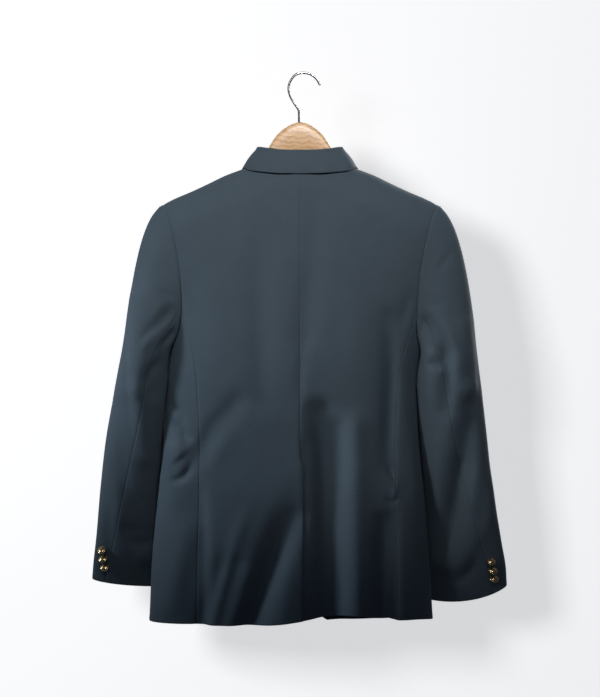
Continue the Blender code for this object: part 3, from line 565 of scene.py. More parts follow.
def frontSunk(side, x, z):
    # How far the right front lies under the left one, with room between them for its own lapel
    if side > 0:
        return 0.0
    return smooth((x + 75) / 60) * smooth((-330 - z) / 120) * (2 * (wall + lift) + 0.5)


def sidePanel(side):
    # The points of one side panel, from the back seam round under the arm to the front seam
    turnScale = 220  # millimetres of cloth to a radian, to weigh turns against heights

    def turnOf(x, z, facing):
        across = np.clip((x - bodyAt("shift", z)) * side / bodyAt("half", z), 0, 1)
        turn = np.arcsin(across ** (boxy / 2))
        return turn if facing > 0 else math.pi - turn

    def edge(which, facing):
        join = armholeAt(backJoin if facing > 0 else frontJoin, side)[1]
        hem = hemAt(sideSeamAt(hipLevel, side, which), facing)

        def at(t):
            z = hem + (join - hem) * np.asarray(t, float)
            return np.stack([turnOf(sideSeamAt(z, side, which), z, facing) * turnScale, z], -1)

        return at

    back, front = edge("back", 1), edge("front", -1)

    def low(t):
        t = np.asarray(t, float)[..., None]
        return back(0.0) + (front(0.0) - back(0.0)) * np.concatenate([t, smooth(t)], -1)

    turns = np.linspace(backJoin, 360 + frontJoin, 80)
    x, z = armholeAt(turns, side)
    top = np.stack([np.where(turns < 180, turnOf(x, z, 1), turnOf(x, z, -1)) * turnScale, z], -1)
    top[0], top[-1] = back(1.0), front(1.0)

    def point(u, w):
        turn, z = np.moveaxis(spread(back, front, low, line(top), u, w), -1, 0)
        turn = turn / turnScale
        x = bodyAt("shift", z) + side * bodyAt("half", z) * np.sin(turn) ** (2 / boxy)
        reach = np.abs(np.cos(turn)) ** (2 / boxy)
        behind = bodyAt("back", z) * reach
        before = bodyAt("front", z) * reach
        behind = behind + bodyFolds(x, z, 1) * smooth(behind / foldFade)
        before = before + bodyFolds(x, z, -1) * smooth(before / foldFade)
        return np.stack([x, np.where(np.cos(turn) > 0, behind, -before), z], -1)

    return point


def lapel(side):
    # The lapel on one front, from the roll line out to its edge
    roll = line([(side * -frontLap, breakHeight), (side * gorge[0], gorge[1])])
    edge = line([(side * x, z) for x, z in lapelOutline])
    low = line([roll(0.0), edge(0.0)])
    top = line([roll(1.0), (side * notch[0], notch[1]), edge(1.0)])

    def point(u, w):
        x, z = np.moveaxis(spread(roll, edge, low, top, u, w), -1, 0)
        return onBody(x, z, -1, wall + lift + 0.2 - frontSunk(side, x, z))

    return point


def laidOn(side, corners, out):
    # A four-cornered piece laid on the cloth: inner low, outer low, outer high, inner high
    a, b, c, d = [(side * x, z) for x, z in corners]
    return lambda u, w: onBody(
        *np.moveaxis(spread(line([a, d]), line([b, c]), line([a, b]), line([d, c]), u, w), -1, 0), -1, out
    )


def offBody(x, y, z, clear):
    # Moves a point of the sleeve clear of the body beside it
    half = bodyAt("half", z) + clear
    depth = np.where(y > 0, bodyAt("back", z), bodyAt("front", z)) + clear
    middle = bodyAt("shift", z)
    inside = (np.abs(x - middle) / half) ** boxy + (np.abs(y) / depth) ** boxy
    grow = np.where(z < armpitLevel, np.maximum(1, np.maximum(inside, 1e-3) ** (-1 / boxy)), 1)
    return middle + (x - middle) * grow, y * grow


def sleeveRing(side, level, turn):
    rings = sleeveRings[side]
    columns = ringNames.split()[1:]
    wide, deep, fore, yaw, slope = [through(rings["z"], rings[name], level) for name in columns]
    yaw = np.radians(yaw)
    reach = np.hypot(wide * np.cos(yaw), deep * np.sin(yaw))
    edge = through(sleeveEdge["z"], sleeveEdge["left" if side > 0 else "right"], level)
    a = np.radians(turn) - yaw
    out = edge - reach + wide * np.cos(a) * np.cos(yaw) - deep * np.sin(a) * np.sin(yaw)
    y = fore + wide * np.cos(a) * np.sin(yaw) + deep * np.sin(a) * np.cos(yaw)
    dip = cuffDip[side] * smooth((rings["z"][-3] - level) / 70) * np.cos(np.radians(turn)) ** 2
    return np.stack([side * out, y, level + slope * np.cos(np.radians(turn)) + dip], -1)


def sleeveCap(side, t, turn):
    # From the armhole at t 0 to the sleeve's first full ring at t 1
    first = sleeveRings[side]["z"][0]
    x, z = armholeAt(turn, side)
    wrapped = (turn + 180) % 360 - 180
    depth = np.where(wrapped > 0, bodyDepth(x, z, 1), bodyDepth(x, z, -1))
    start = np.stack([x, np.sign(wrapped) * depth, z], -1)
    end = sleeveRing(side, first, turn)
    length = np.linalg.norm(end - start, axis=-1, keepdims=True)
    outward = 0.68 + 0.25 * np.cos(2 * np.radians(turn))
    leave = np.stack([side * outward, 0 * outward, -np.sqrt(1 - outward**2)], -1)
    arrive = unit(sleeveRing(side, first - 5.0, turn) - end)
    return hermite(t[..., None], start, end, leave * length * 0.56, arrive * length)


def sleevePlain(side, along, turn):
    along, turn = np.broadcast_arrays(along, turn)
    first, last = sleeveRings[side]["z"][0], cuffLevel[side]
    cap = sleeveCap(side, np.clip(along / capShare, 0, 1), turn)
    below = np.clip((along - capShare) / (1 - capShare), 0, 1)
    tube = sleeveRing(side, first + (last - first) * below, turn)
    x, y, z = np.moveaxis(np.where((along < capShare)[..., None], cap, tube), -1, 0)
    x, y = offBody(x, y, z, 0.8 + 2.6 * smooth(along / capEased))
    return np.stack([x, y, z], -1)


def onSleeve(side, along, turn, out=0.0):
    # The sleeve's cloth, moved out by its normal. Its folds are on the side that faces back
    step = 1e-3
    here = sleevePlain(side, along, turn)
    down = sleevePlain(side, np.minimum(along + step, 1), turn)
    down = down - sleevePlain(side, np.maximum(along - step, 0), turn)
    across = sleevePlain(side, along, turn + 0.2) - sleevePlain(side, along, turn - 0.2)
    normal = unit(np.cross(down, across) * side)
    x, z = here[..., 0], here[..., 2]
    fold = foldsAt(sleeveFolds[side], x, z) + creasesAt(sleeveCreases[side], x, z)
    fold = fold * smooth(normal[..., 1] + 0.35)
    fold = fold + creasesAt(sleeveFrontCreases[side], x, z) * smooth(-normal[..., 1] + 0.1)
    fold = fold * smooth(along / capEased)
    return here + normal * (fold + out)[..., None]


def sleevePart(side, upper):
    # The top sleeve, between its seams over the outside, or the under sleeve between them inside

    def point(u, w):
        along = (1 - w)[None, :]
        back = through(sleeveSeams["along"], sleeveSeams["back"], along)
        front = through(sleeveSeams["along"], sleeveSeams["front"], along)
        if upper:
            turn = front + (back - front) * u[:, None]
        else:
            turn = back + (360 + front - back) * u[:, None]
        return onSleeve(side, along + 0 * turn, turn)

    return point


def neckEdge(v):
    # The cloth's edge round the neck, v 0 at the back to 1 at the gorge
    v = np.asarray(v, float)
    back = np.clip(v / 0.5, 0, 1)
    front = np.clip((v - 0.5) / 0.5, 0, 1)
    highest = underShoulder(neckPoint, ridgeGap)
    x = neckPoint * np.sin(back * math.pi / 2) ** 0.9
    x = np.where(v < 0.5, x, neckPoint + (gorge[0] - neckPoint) * front)
    rise = (highest - backNeck) * (x / neckPoint) ** neckRise
    z = np.where(v < 0.5, backNeck + rise, highest + (gorge[1] - highest) * front**1.4)
    return np.where((v < 0.5)[..., None], onBody(x, z, 1), onBody(x, z, -1))


def offShoulder(points, clear):
    # Moves points out of the cloth of the shoulders, front and back, till they stand clear of it
    x, y, z = np.moveaxis(points, -1, 0)
    facing = np.where(y > 0, 1, -1)
    depth = np.where(facing > 0, bodyAt("back", z), bodyAt("front", z)) * flatness(x, z, 0.05)
    under = (shoulderAt(x) - z) / shoulderDrop
    up = np.clip(1 - under, 0, 3)
    reach = (up**ridge + (np.abs(y) / depth) ** ridge) ** (1 / ridge)
    least = 1 + clear / depth
    grow = np.maximum(1, least / np.maximum(reach, 1e-3))
    moved = z + (grow - 1) * up * shoulderDrop
    return np.stack([x, y * grow, np.where(up > 0, moved, z)], -1)


def collarPoints(v):
    # The collar's strip: its stand from the neck's edge up to the fold, and its fall down outside
    side = np.where(v < 0, -1.0, 1.0)
    along = np.abs(v)
    columns = list(collarRows.values())
    stand, bend, *edge = [through(columns[0], column, along) for column in columns[1:]]
    here = neckEdge(along)
    outward = unit(here * (1, 1, 0))
    up = np.stack([0 * along, 0 * along, 1 + 0 * along], -1)
    lean = unit(up - outward * 0.28)
    foot = here - outward * (wall + 0.3) + up * 0.5
    neckTop = foot + lean * stand[..., None]
    edge = np.stack(edge, -1)
    far = neckTop + outward * 2 * bend[..., None]
    strip = [foot, (foot + neckTop) / 2, neckTop]
    for turn in (45, 90, 135):
        a = math.radians(turn)
        strip.append(neckTop + (outward * (1 - math.cos(a)) + up * math.sin(a)) * bend[..., None])
    strip.append(far)
    toward = smooth((along - 0.85) / 0.15)[..., None]
    toNotch = np.array([notch[0], -55.0, notch[1] + 1.5])
    for share in (0.25, 0.5, 0.75):
        straight = far + (edge - far) * share + outward * 2.0 * math.sin(math.pi * share)
        bent = far + (toNotch - far) * share * 2 if share <= 0.5 else (toNotch + edge) / 2
        strip.append(straight + (bent - straight) * toward)
    strip.append(edge)
    points = np.stack(strip, 1)
    points[:, 6:] = offShoulder(points[:, 6:], wall + lift + 0.3)
    points[..., 0] *= side[:, None]
    return points


def normalsOf(grid):
    across = np.gradient(grid, axis=0)
    along = np.gradient(grid, axis=1)
    return unit(np.cross(across, along))


def exactNormals(point, u, w):
    step = 1e-3
    across = point(np.minimum(u + step, 1), w) - point(np.maximum(u - step, 0), w)
    along = point(u, np.minimum(w + step, 1)) - point(u, np.maximum(w - step, 0))
    return unit(np.cross(across, along))


# Rows or columns over a length in millimetres, close together at both edges
def spaced(length, step):
    close = np.array([0, 0.35, 0.9, 1.8, 3.2, 5.2])
    count = max(2, int(round((length - 2 * close[-1]) / step)))
    middle = np.linspace(close[-1], length - close[-1], count + 1)[1:-1]
    return np.concatenate([close, middle, length - close[::-1]]) / length


def runs(grid, axis):
    step = np.linalg.norm(np.diff(grid, axis=axis), axis=-1)
    start = np.zeros_like(np.take(step, [0], axis=axis))
    return np.concatenate([start, np.cumsum(step, axis=axis)], axis=axis)


# How far the cloth's face goes in (under 0) or out at a distance from an edge of that kind
def edgeForm(kind, away):
    if kind == "seam":  # pressed open: the face dips into the seam and the turnings lift it beside it
        dip = -edges["seamDip"] * np.exp(-((away / edges["seamWide"]) ** 2))
        beside = (away - edges["turning"] * 0.55) / (edges["turning"] * 0.42)
        return dip + edges["seamPuff"] * np.exp(-(beside**2))
    if kind == "roped":  # the sleeve head stands up over the armhole seam
        dip = -edges["seamDip"] * 1.3 * np.exp(-((away / edges["seamWide"]) ** 2))
        return dip + edges["ropeUp"] * np.exp(-(((away - 7) / 5.5) ** 2))
    if kind == "pressed":  # the collar's fall, pressed thin at its edge
        return -0.55 * wall * np.exp(-((away / 6.0) ** 2))
    rounded = wall * 0.5 * (1 - np.sqrt(np.clip(1 - (1 - np.clip(away / 1.1, 0, 1)) ** 2, 0, 1)))
    if kind == "hem":  # turned up and pressed, so that it is a little thicker
        return edges["hemPuff"] * np.exp(-(((away - 4) / 4.5) ** 2)) - rounded
    return -rounded


edges = {  # millimetres
    "seamDip": 0.42,
    "seamWide": 1.1,
    "seamPuff": 0.15,
    "turning": 12.0,  # the seam's turnings lie this wide under the cloth
    "ropeUp": 0.5,
    "hemPuff": 0.3,
}

pieces = {}
hands = ((1, "left"), (-1, "right"))


def placed(name, data):
    obj = bpy.data.objects.new(name, data)
    bpy.context.scene.collection.objects.link(obj)
    return obj


# A mesh from points in millimetres in the garment's own frame
def meshOf(name, points, faces):
    mesh = bpy.data.meshes.new(name)
    mesh.from_pydata(((np.asarray(points, float) + (garmentMiddle, 0, 0)) * metre).tolist(), [], faces)
    mesh.shade_smooth()
    mesh.update()
    return placed(name, mesh)


# A wall of cloth. kinds names its edges at u 0, u 1, w 0 and w 1
def clothWall(name, outer, normal, kinds, thick=wall):
    across, down = runs(outer, 0), runs(outer, 1)
    away = [across, across[-1:] - across, down, down[:, -1:] - down]
    out = sum(edgeForm(kind, d) for kind, d in zip(kinds, away))
    face = outer + normal * out[..., None]
    inner = outer - normal * thick
    rows, columns = outer.shape[:2]
    index = np.arange(rows * columns).reshape(rows, columns)
    under = index + rows * columns
    top = np.stack([index[:-1, :-1], index[1:, :-1], index[1:, 1:], index[:-1, 1:]], -1).reshape(-1, 4)
    low = np.stack([under[:-1, :-1], under[:-1, 1:], under[1:, 1:], under[1:, :-1]], -1).reshape(-1, 4)
    border = np.concatenate([index[:, 0], index[-1, 1:], index[-2::-1, -1], index[0, -2:0:-1]])
    below = border + rows * columns
    rim = np.stack([np.roll(border, -1), border, below, np.roll(below, -1)], -1)
    faces = np.concatenate([top, low, rim])
    points = np.concatenate([face.reshape(-1, 3), inner.reshape(-1, 3)])
    a, b, c, d = (points[top[:, k]] for k in range(4))
    facing = np.einsum("ij,ij->i", np.cross(c - a, d - b), normal[:-1, :-1].reshape(-1, 3)).sum()
    if facing < 0:
        faces = faces[:, ::-1]
    obj = meshOf(name, points, faces.tolist())
    lay = np.stack([across, down, 0 * across], -1).reshape(-1, 3)
    lay = np.concatenate([lay, lay]).astype(np.float32) * metre
    store = obj.data.attributes.new("clothLay", "FLOAT_VECTOR", "POINT")
    store.data.foreach_set("vector", lay.ravel())
    inside = np.concatenate([np.zeros(rows * columns), np.ones(rows * columns)]).astype(np.float32)
    store = obj.data.attributes.new("reverse", "FLOAT", "POINT")
    store.data.foreach_set("value", inside)
    pieces[name] = obj
    return obj


def cloth(name, point, kinds, step, side, thick=wall, facing=1, keep=()):
    u = np.linspace(0, 1, 25)
    w = np.linspace(0, 1, 61)
    rough = point(u, w)
    wide = runs(rough, 0)[-1].mean()
    tall = runs(rough, 1)[:, -1].mean()
    u = spaced(wide, step[0])
    w = np.unique(np.concatenate([spaced(tall, step[1]), np.array(keep, float)]))
    return clothWall(name, point(u, w), exactNormals(point, u, w) * side * facing, kinds, thick)


# The panels, built on the same surfaces as the solids
def makeBody():
    ventRows = np.linspace(ventTop - ventStep, ventTop + ventStep, 7)
    vent = (ventRows - backHemMiddle) / (backNeck - backHemMiddle)
    sewn = ["seam", "seam", "hem", "seam"]
    for side, hand in hands:
        cloth(f"back_{hand}", backPanel(side), sewn, fineStep["back"], side, facing=-1, keep=vent)
        cloth(f"side_{hand}", sidePanel(side), sewn, fineStep["side"], side, facing=-1)
        cloth(f"front_{hand}", frontPanel(side), ["free"] + sewn[1:], fineStep["front"], side)
        cloth(f"lapel_{hand}", lapel(side), ["free"] * 4, fineStep["lapel"], side)
    print("body panels and lapels made")


fineStep = {  # how far apart the grid's columns and rows are, in millimetres
    "back": (3.4, 3.6),
    "side": (3.8, 3.8),
    "front": (4.6, 4.6),
    "lapel": (5.0, 5.0),
    "sleeve": (3.6, 3.6),
}


def makeSleeves():
    for side, hand in hands:
        for upper, part in ((True, "top"), (False, "under")):
            kinds = ["seam", "seam", "hem", "roped"]
            cloth(f"{part}_sleeve_{hand}", sleevePart(side, upper), kinds, fineStep["sleeve"], side)
    print("sleeves made")


# The collar's strip, made finer along it and across it
def makeCollar():
    strip = collarPoints(np.linspace(-1, 1, 141))
    far = runs(strip, 1)
    share = far / far[:, -1:]
    stops = spaced(far[:, -1].mean(), 3.0)
    fine = np.empty((len(strip), len(stops), 3))
    for row in range(len(strip)):
        for k in range(3):
            fine[row, :, k] = through(share[row], strip[row, :, k], stops)
    clothWall("collar", fine, normalsOf(fine), ["free", "free", "seam", "pressed"])
    print("collar made")


pockets = {  # corners in millimetres: inner low, outer low, outer high, inner high
    "flap": [(62, -704), (166, -696), (166, -650), (62, -656)],
    "welt": [(92, -424), (166, -414), (166, -390), (92, -400)],
}


def makePockets():
    kinds = ["free", "free", "hem", "free"]
    for side, hand in hands:
        place = laidOn(side, pockets["flap"], flapRaise + flapThick)
        cloth(f"pocket_flap_{hand}", place, kinds, (4.0, 4.0), side, flapThick)
    cloth("breast_welt", laidOn(1, pockets["welt"], flapRaise + flapThick), kinds, (4.0, 4.0), 1, flapThick)
    print("pockets made")


# The faces round a stack of rings, and those that close its two ends
def ringFaces(count, around):
    faces = []
    for i in range(count - 1):
        for k in range(around):
            m = (k + 1) % around
            faces.append((i * around + k, i * around + m, (i + 1) * around + m, (i + 1) * around + k))
    ends = [tuple(range(around))[::-1], tuple(range((count - 1) * around, count * around))]
    return faces, ends


# A turned piece from a profile of radius and height
def turned(name, place, axis, profile, around=48):
    axis = unit(np.array(axis, float))
    first = unit(np.cross(axis, (0.3, 0.2, 1)))
    second = np.cross(axis, first)
    profile = np.array(profile, float)
    turns = np.linspace(0, 2 * math.pi, around, endpoint=False)
    ring = np.cos(turns)[:, None] * first + np.sin(turns)[:, None] * second
    points = place + profile[:, None, 1, None] * axis + profile[:, None, 0, None] * ring
    faces, ends = ringFaces(len(profile), around)
    pieces[name] = meshOf(name, points.reshape(-1, 3), faces + ends)


button = {  # millimetres
    "rimRound": 0.75,
    "rimWide": 1.1,
    "groove": 0.35,
    "dome": 2.6,
    "shank": 1.7,
}


# A domed button with a rolled rim, a groove inside it and a shank
def buttonProfile(radius, stem):
    r = button["rimRound"]
    profile = [(0.01, -stem), (button["shank"], -stem), (button["shank"], -0.05), (radius - r, 0.0)]
    for turn in np.linspace(-90, 100, 9):
        a = math.radians(turn)
        profile.append((radius - r + r * math.cos(a), r + r * math.sin(a)))
    edge = radius - r - button["rimWide"]
    profile.append((edge, 2 * r - button["groove"] - 0.1))
    for t in np.linspace(0.0, 1, 11)[1:]:
        a = t * math.pi / 2
        rise = (button["dome"] - r) * math.sin(a)
        profile.append((edge * math.cos(a) + 0.01, 2 * r - button["groove"] + rise))
    return profile


def makeButtons():
    along, turns = np.meshgrid(np.linspace(0.8, 1, 60), np.linspace(0, 120, 90), indexing="ij")
    for side, hand in hands:
        cuff = onSleeve(side, along, turns)
        for number, (x, z) in enumerate(cuffButtons[side], 1):
            away = np.hypot(cuff[..., 0] - x, cuff[..., 2] - z)
            nearest = np.unravel_index(np.argmin(away), away.shape)
            spot = [np.array(along[nearest]), np.array(turns[nearest])]
            place = onSleeve(side, *spot)
            axis = unit(onSleeve(side, *spot, 1.0) - place)
            tilted = unit(axis + (0, 0, cuffButtonTilt))
            place = place + axis * cuffLift + tilted * cuffShank
            name = f"button_cuff_{hand}_{number}"
            turned(name, place, tilted, buttonProfile(cuffButtonRadius, cuffShank + 0.4))
    for number, z in enumerate(frontButtons, 1):
        place = onBody(np.array(0.0), np.array(z), -1)
        axis = onBody(np.array(0.0), np.array(z), -1, np.array(1.0)) - place
        profile = buttonProfile(frontButtonRadius, frontShank + 0.2)
        turned(f"button_front_{number}", place + axis * (lift + frontShank), axis, profile, 64)
    print("buttons made")


# The hanger's wood, lofted outwards from its middle, and its wire
def makeHanger():
    reach = np.unique(np.concatenate([np.linspace(0, armEnd[0], 86), armEnd[1:]]))
    stations = np.concatenate([-reach[:0:-1], reach])
    turns = np.linspace(0, 2 * math.pi, 40, endpoint=False)
    rings = []
    for x in stations:
        columns = list(hangerRows.values())
        top, tall, thick, fore = [through(columns[0], column, abs(x)) for column in columns[1:]]
        if abs(x) > armStart:
            top = min(top, shoulderAt(x) - wall - restGap)
        ended = math.sqrt(max(0.02, 1 - max(0, (abs(x) - 207) / armRound) ** 2))
        middle = top - tall / 2
        y = np.sign(np.cos(turns)) * np.abs(np.cos(turns)) ** woodSquare * thick * ended + fore
        z = middle + np.sign(np.sin(turns)) * np.abs(np.sin(turns)) ** woodSquare * tall / 2 * ended
        rings.append(np.stack([0 * y + x, y, z], -1))
    rings = np.array(rings)
    faces, ends = ringFaces(*rings.shape[:2])
    pieces["hanger_wood"] = meshOf("hanger_wood_form", rings.reshape(-1, 3), ends + faces)
    path = np.array(hookPath)
    far = runs(path, 0)
    steps = np.linspace(0, far[-1], 90)
    curve = bpy.data.curves.new("hanger_hook_form", "CURVE")
    curve.dimensions = "3D"
    curve.bevel_depth = wireRadius * metre
    curve.bevel_resolution = 5
    curve.use_fill_caps = True
    spline = curve.splines.new("POLY")
    spline.points.add(len(steps) - 1)
    for spot, x, z in zip(spline.points, through(far, path[:, 0], steps), through(far, path[:, 1], steps)):
        spot.co = ((x + garmentMiddle) * metre, 0, z * metre, 1)
    pieces["hanger_hook"] = placed("hanger_hook_form", curve)
    print("hanger made")


def colourOf(hexValue):
    channels = [int(hexValue[i : i + 2], 16) / 255 for i in (1, 3, 5)]
    return tuple(c / 12.92 if c <= 0.04045 else ((c + 0.055) / 1.055) ** 2.4 for c in channels) + (1,)


# Adds a node with its settings. A value that is a (node, output) pair is linked, any other is set
def addNode(tree, kind, settings=None, **sockets):
    node = tree.nodes.new(kind)
    for name, value in (settings or {}).items():
        setattr(node, name, value)
    for name, value in sockets.items():
        key = int(name[1:]) if name[0] == "i" and name[1:].isdigit() else name.replace("_", " ")
        if isinstance(value, tuple) and len(value) == 2 and isinstance(value[0], bpy.types.Node):
            tree.links.new(value[0].outputs[value[1]], node.inputs[key])
        else:
            node.inputs[key].default_value = value
    return node


def newMaterial(name, **shader):
    material = bpy.data.materials.new(name)
    material.use_nodes = True
    tree = material.node_tree
    tree.nodes.clear()
    output = tree.nodes.new("ShaderNodeOutputMaterial")
    principled = addNode(tree, "ShaderNodeBsdfPrincipled", **shader)
    tree.links.new(principled.outputs[0], output.inputs[0])
    return material, tree, principled


def addRamp(tree, source, stops):
    node = addNode(tree, "ShaderNodeValToRGB", None, Fac=source)
    while len(node.color_ramp.elements) < len(stops):
        node.color_ramp.elements.new(0.5)
    for element, (place, colour) in zip(node.color_ramp.elements, stops):
        element.position = place
        element.color = colourOf(colour)
    return node


def addNoise(tree, source, scale, detail, **more):
    return addNode(tree, "ShaderNodeTexNoise", None, Vector=source, Scale=scale, Detail=detail, **more)


def addBump(tree, shader, height, strength, distance):
    bump = addNode(tree, "ShaderNodeBump", None, Strength=strength, Distance=distance, Height=height)
    tree.links.new(bump.outputs[0], shader.inputs["Normal"])


twill = {
    "dark": "#323c44",
    "light": "#3e4a52",
    "reverseCloth": "#2d353d",
    "ribMm": 1.3,  # real twill ribs are 0.6 mm apart: drawn coarser, so that they show
    "yarnMm": 0.9,
    "mottleMm": 26.0,
    "napMm": 2.4,
    "roughness": 0.82,
    "sheen": 0.12,
}


# Worsted-spun wool blend, woven as a 2/2 twill and lightly napped: matte, with faint diagonal ribs
def woolTwill():
    material, tree, shader = newMaterial("woolTwill", Roughness=twill["roughness"])
    shader.inputs["Sheen Weight"].default_value = twill["sheen"]
    shader.inputs["Sheen Roughness"].default_value = 0.45
    shader.inputs["Sheen Tint"].default_value = colourOf("#8fa3b5")
    shader.inputs["IOR"].default_value = 1.54  # wool's keratin
    shader.inputs["Specular IOR Level"].default_value = 0.25
    lay = addNode(tree, "ShaderNodeAttribute", {"attribute_name": "clothLay"})
    place = addNode(tree, "ShaderNodeTexCoord")
    turn = addNode(tree, "ShaderNodeMapping", None, Vector=(lay, 1), Rotation=(0, 0, math.radians(58)))
    ribs = addNode(
        tree, "ShaderNodeTexWave", {"wave_type": "BANDS", "bands_direction": "X", "wave_profile": "SIN"},
        Vector=(turn, 0), Scale=160 / twill["ribMm"], Distortion=1.4, Detail=2.0, Detail_Scale=2.5,
    )
    noises = {}
    for name, source, detail, rough in (
        ("yarn", (lay, 1), 3.0, 0.6),
        ("nap", (place, 3), 5.0, 0.65),
        ("mottle", (place, 3), 4.0, 0.55),
    ):
        noises[name] = addNoise(tree, source, 1000 / twill[name + "Mm"], detail, Roughness=rough)
    scaled = {"operation": "MULTIPLY_ADD"}
    tone = addNode(tree, "ShaderNodeMath", scaled, i0=(noises["mottle"], 0), i1=0.25, i2=0.4)
    tone = addNode(tree, "ShaderNodeMath", scaled, i0=(noises["nap"], 0), i1=0.5, i2=(tone, 0))
    tone = addNode(tree, "ShaderNodeMath", scaled, i0=(ribs, 1), i1=0.12, i2=(tone, 0))
    colours = addRamp(tree, (tone, 0), [(0.55, twill["dark"]), (1.05, twill["light"])])
    reverse = addNode(tree, "ShaderNodeAttribute", {"attribute_name": "reverse"})
    under = colourOf(twill["reverseCloth"])
    both = addNode(tree, "ShaderNodeMix", {"data_type": "RGBA"}, i0=(reverse, 2), i6=(colours, 0), i7=under)
    tree.links.new(both.outputs[2], shader.inputs["Base Color"])
    depth = addNode(tree, "ShaderNodeMath", scaled, i0=(noises["yarn"], 0), i1=0.6, i2=(ribs, 1))
    depth = addNode(tree, "ShaderNodeMath", scaled, i0=(noises["nap"], 0), i1=1.2, i2=(depth, 0))
    addBump(tree, shader, (depth, 0), 0.35, 0.00025)
    return material


beech = {
    "pale": "#cba274",
    "mid": "#b58a60",
    "dark": "#8f6641",
    "fleckMm": 1.1,
    "figureMm": 22.0,
    "roughness": 0.42,
}


# Steamed beech under a satin lacquer: pale, with short dark flecks and a curly figure
def satinBeech():
    material, tree, shader = newMaterial("satinBeech", Roughness=beech["roughness"], IOR=1.5)
    shader.inputs["Coat Weight"].default_value = 0.25
    shader.inputs["Coat Roughness"].default_value = 0.3
    place = addNode(tree, "ShaderNodeTexCoord")
    figure = addNoise(tree, (place, 3), 1000 / beech["figureMm"], 3.0)
    turn = (0, math.radians(24), 0)
    stretch = addNode(tree, "ShaderNodeMapping", None, Vector=(place, 3), Scale=(0.22, 1, 1), Rotation=turn)
    scaled = {"operation": "MULTIPLY_ADD"}
    swirl = addNode(tree, "ShaderNodeVectorMath", scaled, i0=(figure, 1), i1=(0.024,) * 3, i2=(stretch, 0))
    grain = addNode(
        tree, "ShaderNodeTexWave", {"wave_type": "BANDS", "bands_direction": "Z"}, Vector=(swirl, 0),
        Scale=42.0, Distortion=3.2, Detail=4.0, Detail_Scale=1.6, Detail_Roughness=0.6,
    )
    flecks = addNoise(tree, (swirl, 0), 1000 / beech["fleckMm"], 2.0)
    limits = {"From_Min": 0.62, "From_Max": 0.74, "To_Max": 0.55}
    dark = addNode(tree, "ShaderNodeMapRange", None, Value=(flecks, 0), **limits)
    colours = addRamp(tree, (grain, 1), [(0.0, beech["pale"]), (0.55, beech["pale"]), (1.0, beech["mid"])])
    deep = colourOf(beech["dark"])
    both = addNode(tree, "ShaderNodeMix", {"data_type": "RGBA"}, i0=(dark, 0), i6=(colours, 0), i7=deep)
    tree.links.new(both.outputs[2], shader.inputs["Base Color"])
    addBump(tree, shader, (grain, 1), 0.25, 0.0002)
    return material


brass = {"pale": "#d0b88c", "dark": "#8a7148", "roughness": 0.24, "smudgeMm": 3.0}


# Stamped brass, polished and a little tarnished: warm, sharp highlights and duller smudges
def polishedBrass():
    material, tree, shader = newMaterial("polishedBrass", Metallic=1.0, Roughness=brass["roughness"])
    place = addNode(tree, "ShaderNodeTexCoord")
    smudge = addNoise(tree, (place, 3), 1000 / brass["smudgeMm"], 4.0)
    colours = addRamp(tree, (smudge, 0), [(0.3, brass["pale"]), (0.75, brass["dark"])])
    tree.links.new(colours.outputs[0], shader.inputs["Base Color"])
    limits = {"From_Min": 0.3, "From_Max": 0.8, "To_Min": 0.16, "To_Max": 0.4}
    rough = addNode(tree, "ShaderNodeMapRange", None, Value=(smudge, 0), **limits)
    tree.links.new(rough.outputs[0], shader.inputs["Roughness"])
    return material


# Drawn steel wire, bright zinc finish: fine scratches along it soften its highlight
def drawnSteel():
    material, tree, shader = newMaterial("drawnSteel", Metallic=1.0, Roughness=0.26)
    place = addNode(tree, "ShaderNodeTexCoord")
    streak = addNoise(tree, (place, 3), 420.0, 4.0)
    colours = addRamp(tree, (streak, 0), [(0.35, "#a9aaab"), (0.7, "#8d8e90")])
    tree.links.new(colours.outputs[0], shader.inputs["Base Color"])
    limits = {"From_Min": 0.3, "From_Max": 0.7, "To_Min": 0.2, "To_Max": 0.34}
    rough = addNode(tree, "ShaderNodeMapRange", None, Value=(streak, 0), **limits)
    tree.links.new(rough.outputs[0], shader.inputs["Roughness"])
    return material


studio = {  # metres
    "cameraPlace": (0.0067, 2.6, -0.4606),
    "lens": 36 * 1549 / 697,
    "wallBehind": -0.17,
    "wallLow": -2.4,
    "wallGlow": 0.63,
    "air": (0.046, 0.052, 0.074),
}

# Each lamp: its place, what it is aimed at, its size, watts and the angle that its light spreads over
lamps = {
    # a wide beam on the shoulders, fading to the hem
    "key": ((-0.1, 2.0, 1.0), (0, 0, -0.09), (1.5, 0.15), 3.7, 34),
    # grazes the back and models the folds
    "side": ((2.0, 0.5, 0.2), (-0.05, 0.08, -0.66), (0.4, 0.4), 0.95, 24),
    # reaches the right sleeve
    "fill": ((1.4, 1.3, 0.3), (-0.34, 0, -0.64), (0.3, 0.3), 0.2, 12),
    # stands on the far side, for the fronts
    "front": ((-1.3, -2.8, 0.9), (0, 0, -0.5), (1.6, 1.6), 120, 180),
    # throws the soft shadow, and lights the backdrop only
    "cast": ((1.7, 2.6, 0.4), (0, 0, -0.5), (0.8, 0.8), 44, 180),
}


def areaLamp(name):
    place, aim, size, power, spread = lamps[name]
    lamp = bpy.data.lights.new(name, "AREA")
    lamp.shape = "RECTANGLE"
    lamp.size, lamp.size_y = size
    lamp.energy = power
    lamp.spread = math.radians(spread)
    lamp.color = (0.76, 0.89, 1.0) if name == "side" else (1, 1, 1)  # the low light is the bluer one
    obj = placed(name, lamp)
    obj.visible_camera = False
    obj.location = place
    obj.rotation_euler = (Vector(aim) - obj.location).to_track_quat("-Z", "Y").to_euler()
    return obj


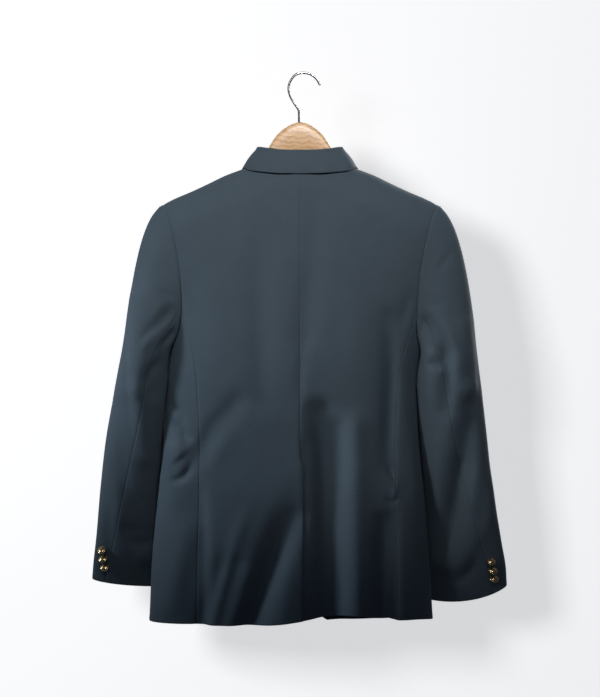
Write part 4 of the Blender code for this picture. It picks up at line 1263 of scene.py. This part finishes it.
# A pale wall close behind the blazer. From its far side it lets the view through
def makeStudio():
    back, low = studio["wallBehind"], studio["wallLow"]
    lit, unlit = [bpy.data.collections.new(name) for name in ("backdropLit", "backdropUnlit")]
    mesh = bpy.data.meshes.new("backWall")
    mesh.from_pydata([(-4, back, 2.4), (4, back, 2.4), (4, back, low), (-4, back, low)], [], [(0, 1, 2, 3)])
    obj = placed("backWall", mesh)
    material, tree, paint = newMaterial("backWallPaint", Base_Color=colourOf("#f2f2f1"), Roughness=0.9)
    paint.inputs["Emission Color"].default_value = (1, 1, 1, 1)
    seen = tree.nodes.new("ShaderNodeLightPath")  # the glow whitens the wall and lights nothing
    shine = addNode(tree, "ShaderNodeMath", {"operation": "MULTIPLY"}, i0=(seen, 0), i1=studio["wallGlow"])
    tree.links.new(shine.outputs[0], paint.inputs["Emission Strength"])
    clear = tree.nodes.new("ShaderNodeBsdfTransparent")
    behind = tree.nodes.new("ShaderNodeNewGeometry")
    both = addNode(tree, "ShaderNodeMixShader", None, Fac=(behind, 6), i1=(paint, 0), i2=(clear, 0))
    tree.links.new(both.outputs[0], tree.nodes["Material Output"].inputs[0])
    mesh.materials.append(material)
    lit.objects.link(obj)
    unlit.objects.link(obj)
    unlit.collection_objects[0].light_linking.link_state = "EXCLUDE"
    world = bpy.data.worlds.new("studioAir")
    bpy.context.scene.world = world
    bpy.context.scene.view_settings.view_transform = "Standard"
    world.use_nodes = True
    air = world.node_tree.nodes["Background"]
    air.inputs[0].default_value = studio["air"] + (1,)
    for name in lamps:
        lamp = areaLamp(name)
        lamp.light_linking.receiver_collection = lit if name == "cast" else unlit
        if name == "front":
            lamp.light_linking.blocker_collection = unlit
    lens = bpy.data.cameras.new("camera")
    lens.sensor_width = 36
    lens.lens = studio["lens"]
    camera = placed("camera", lens)
    camera.location = studio["cameraPlace"]
    camera.rotation_euler = (math.pi / 2, 0, math.pi)
    bpy.context.scene.camera = camera
    print("studio made")


def dressPieces():
    finishes = {"cloth": woolTwill(), "wood": satinBeech(), "brass": polishedBrass(), "wire": drawnSteel()}
    slots = {row["node"]: row["material_slot"] for row in frame["record"]["subparts"]}
    for node, piece in pieces.items():
        slot = slots[node]
        piece.data.materials.append(finishes[slot])
        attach(piece, "root")
        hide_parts(node)
        piece.name = node + "_shell" if slot == "cloth" else node + "_form"
    print("finishes given")


makeBody()
makeSleeves()
makeCollar()
makePockets()
makeButtons()
makeHanger()
makeStudio()
dressPieces()
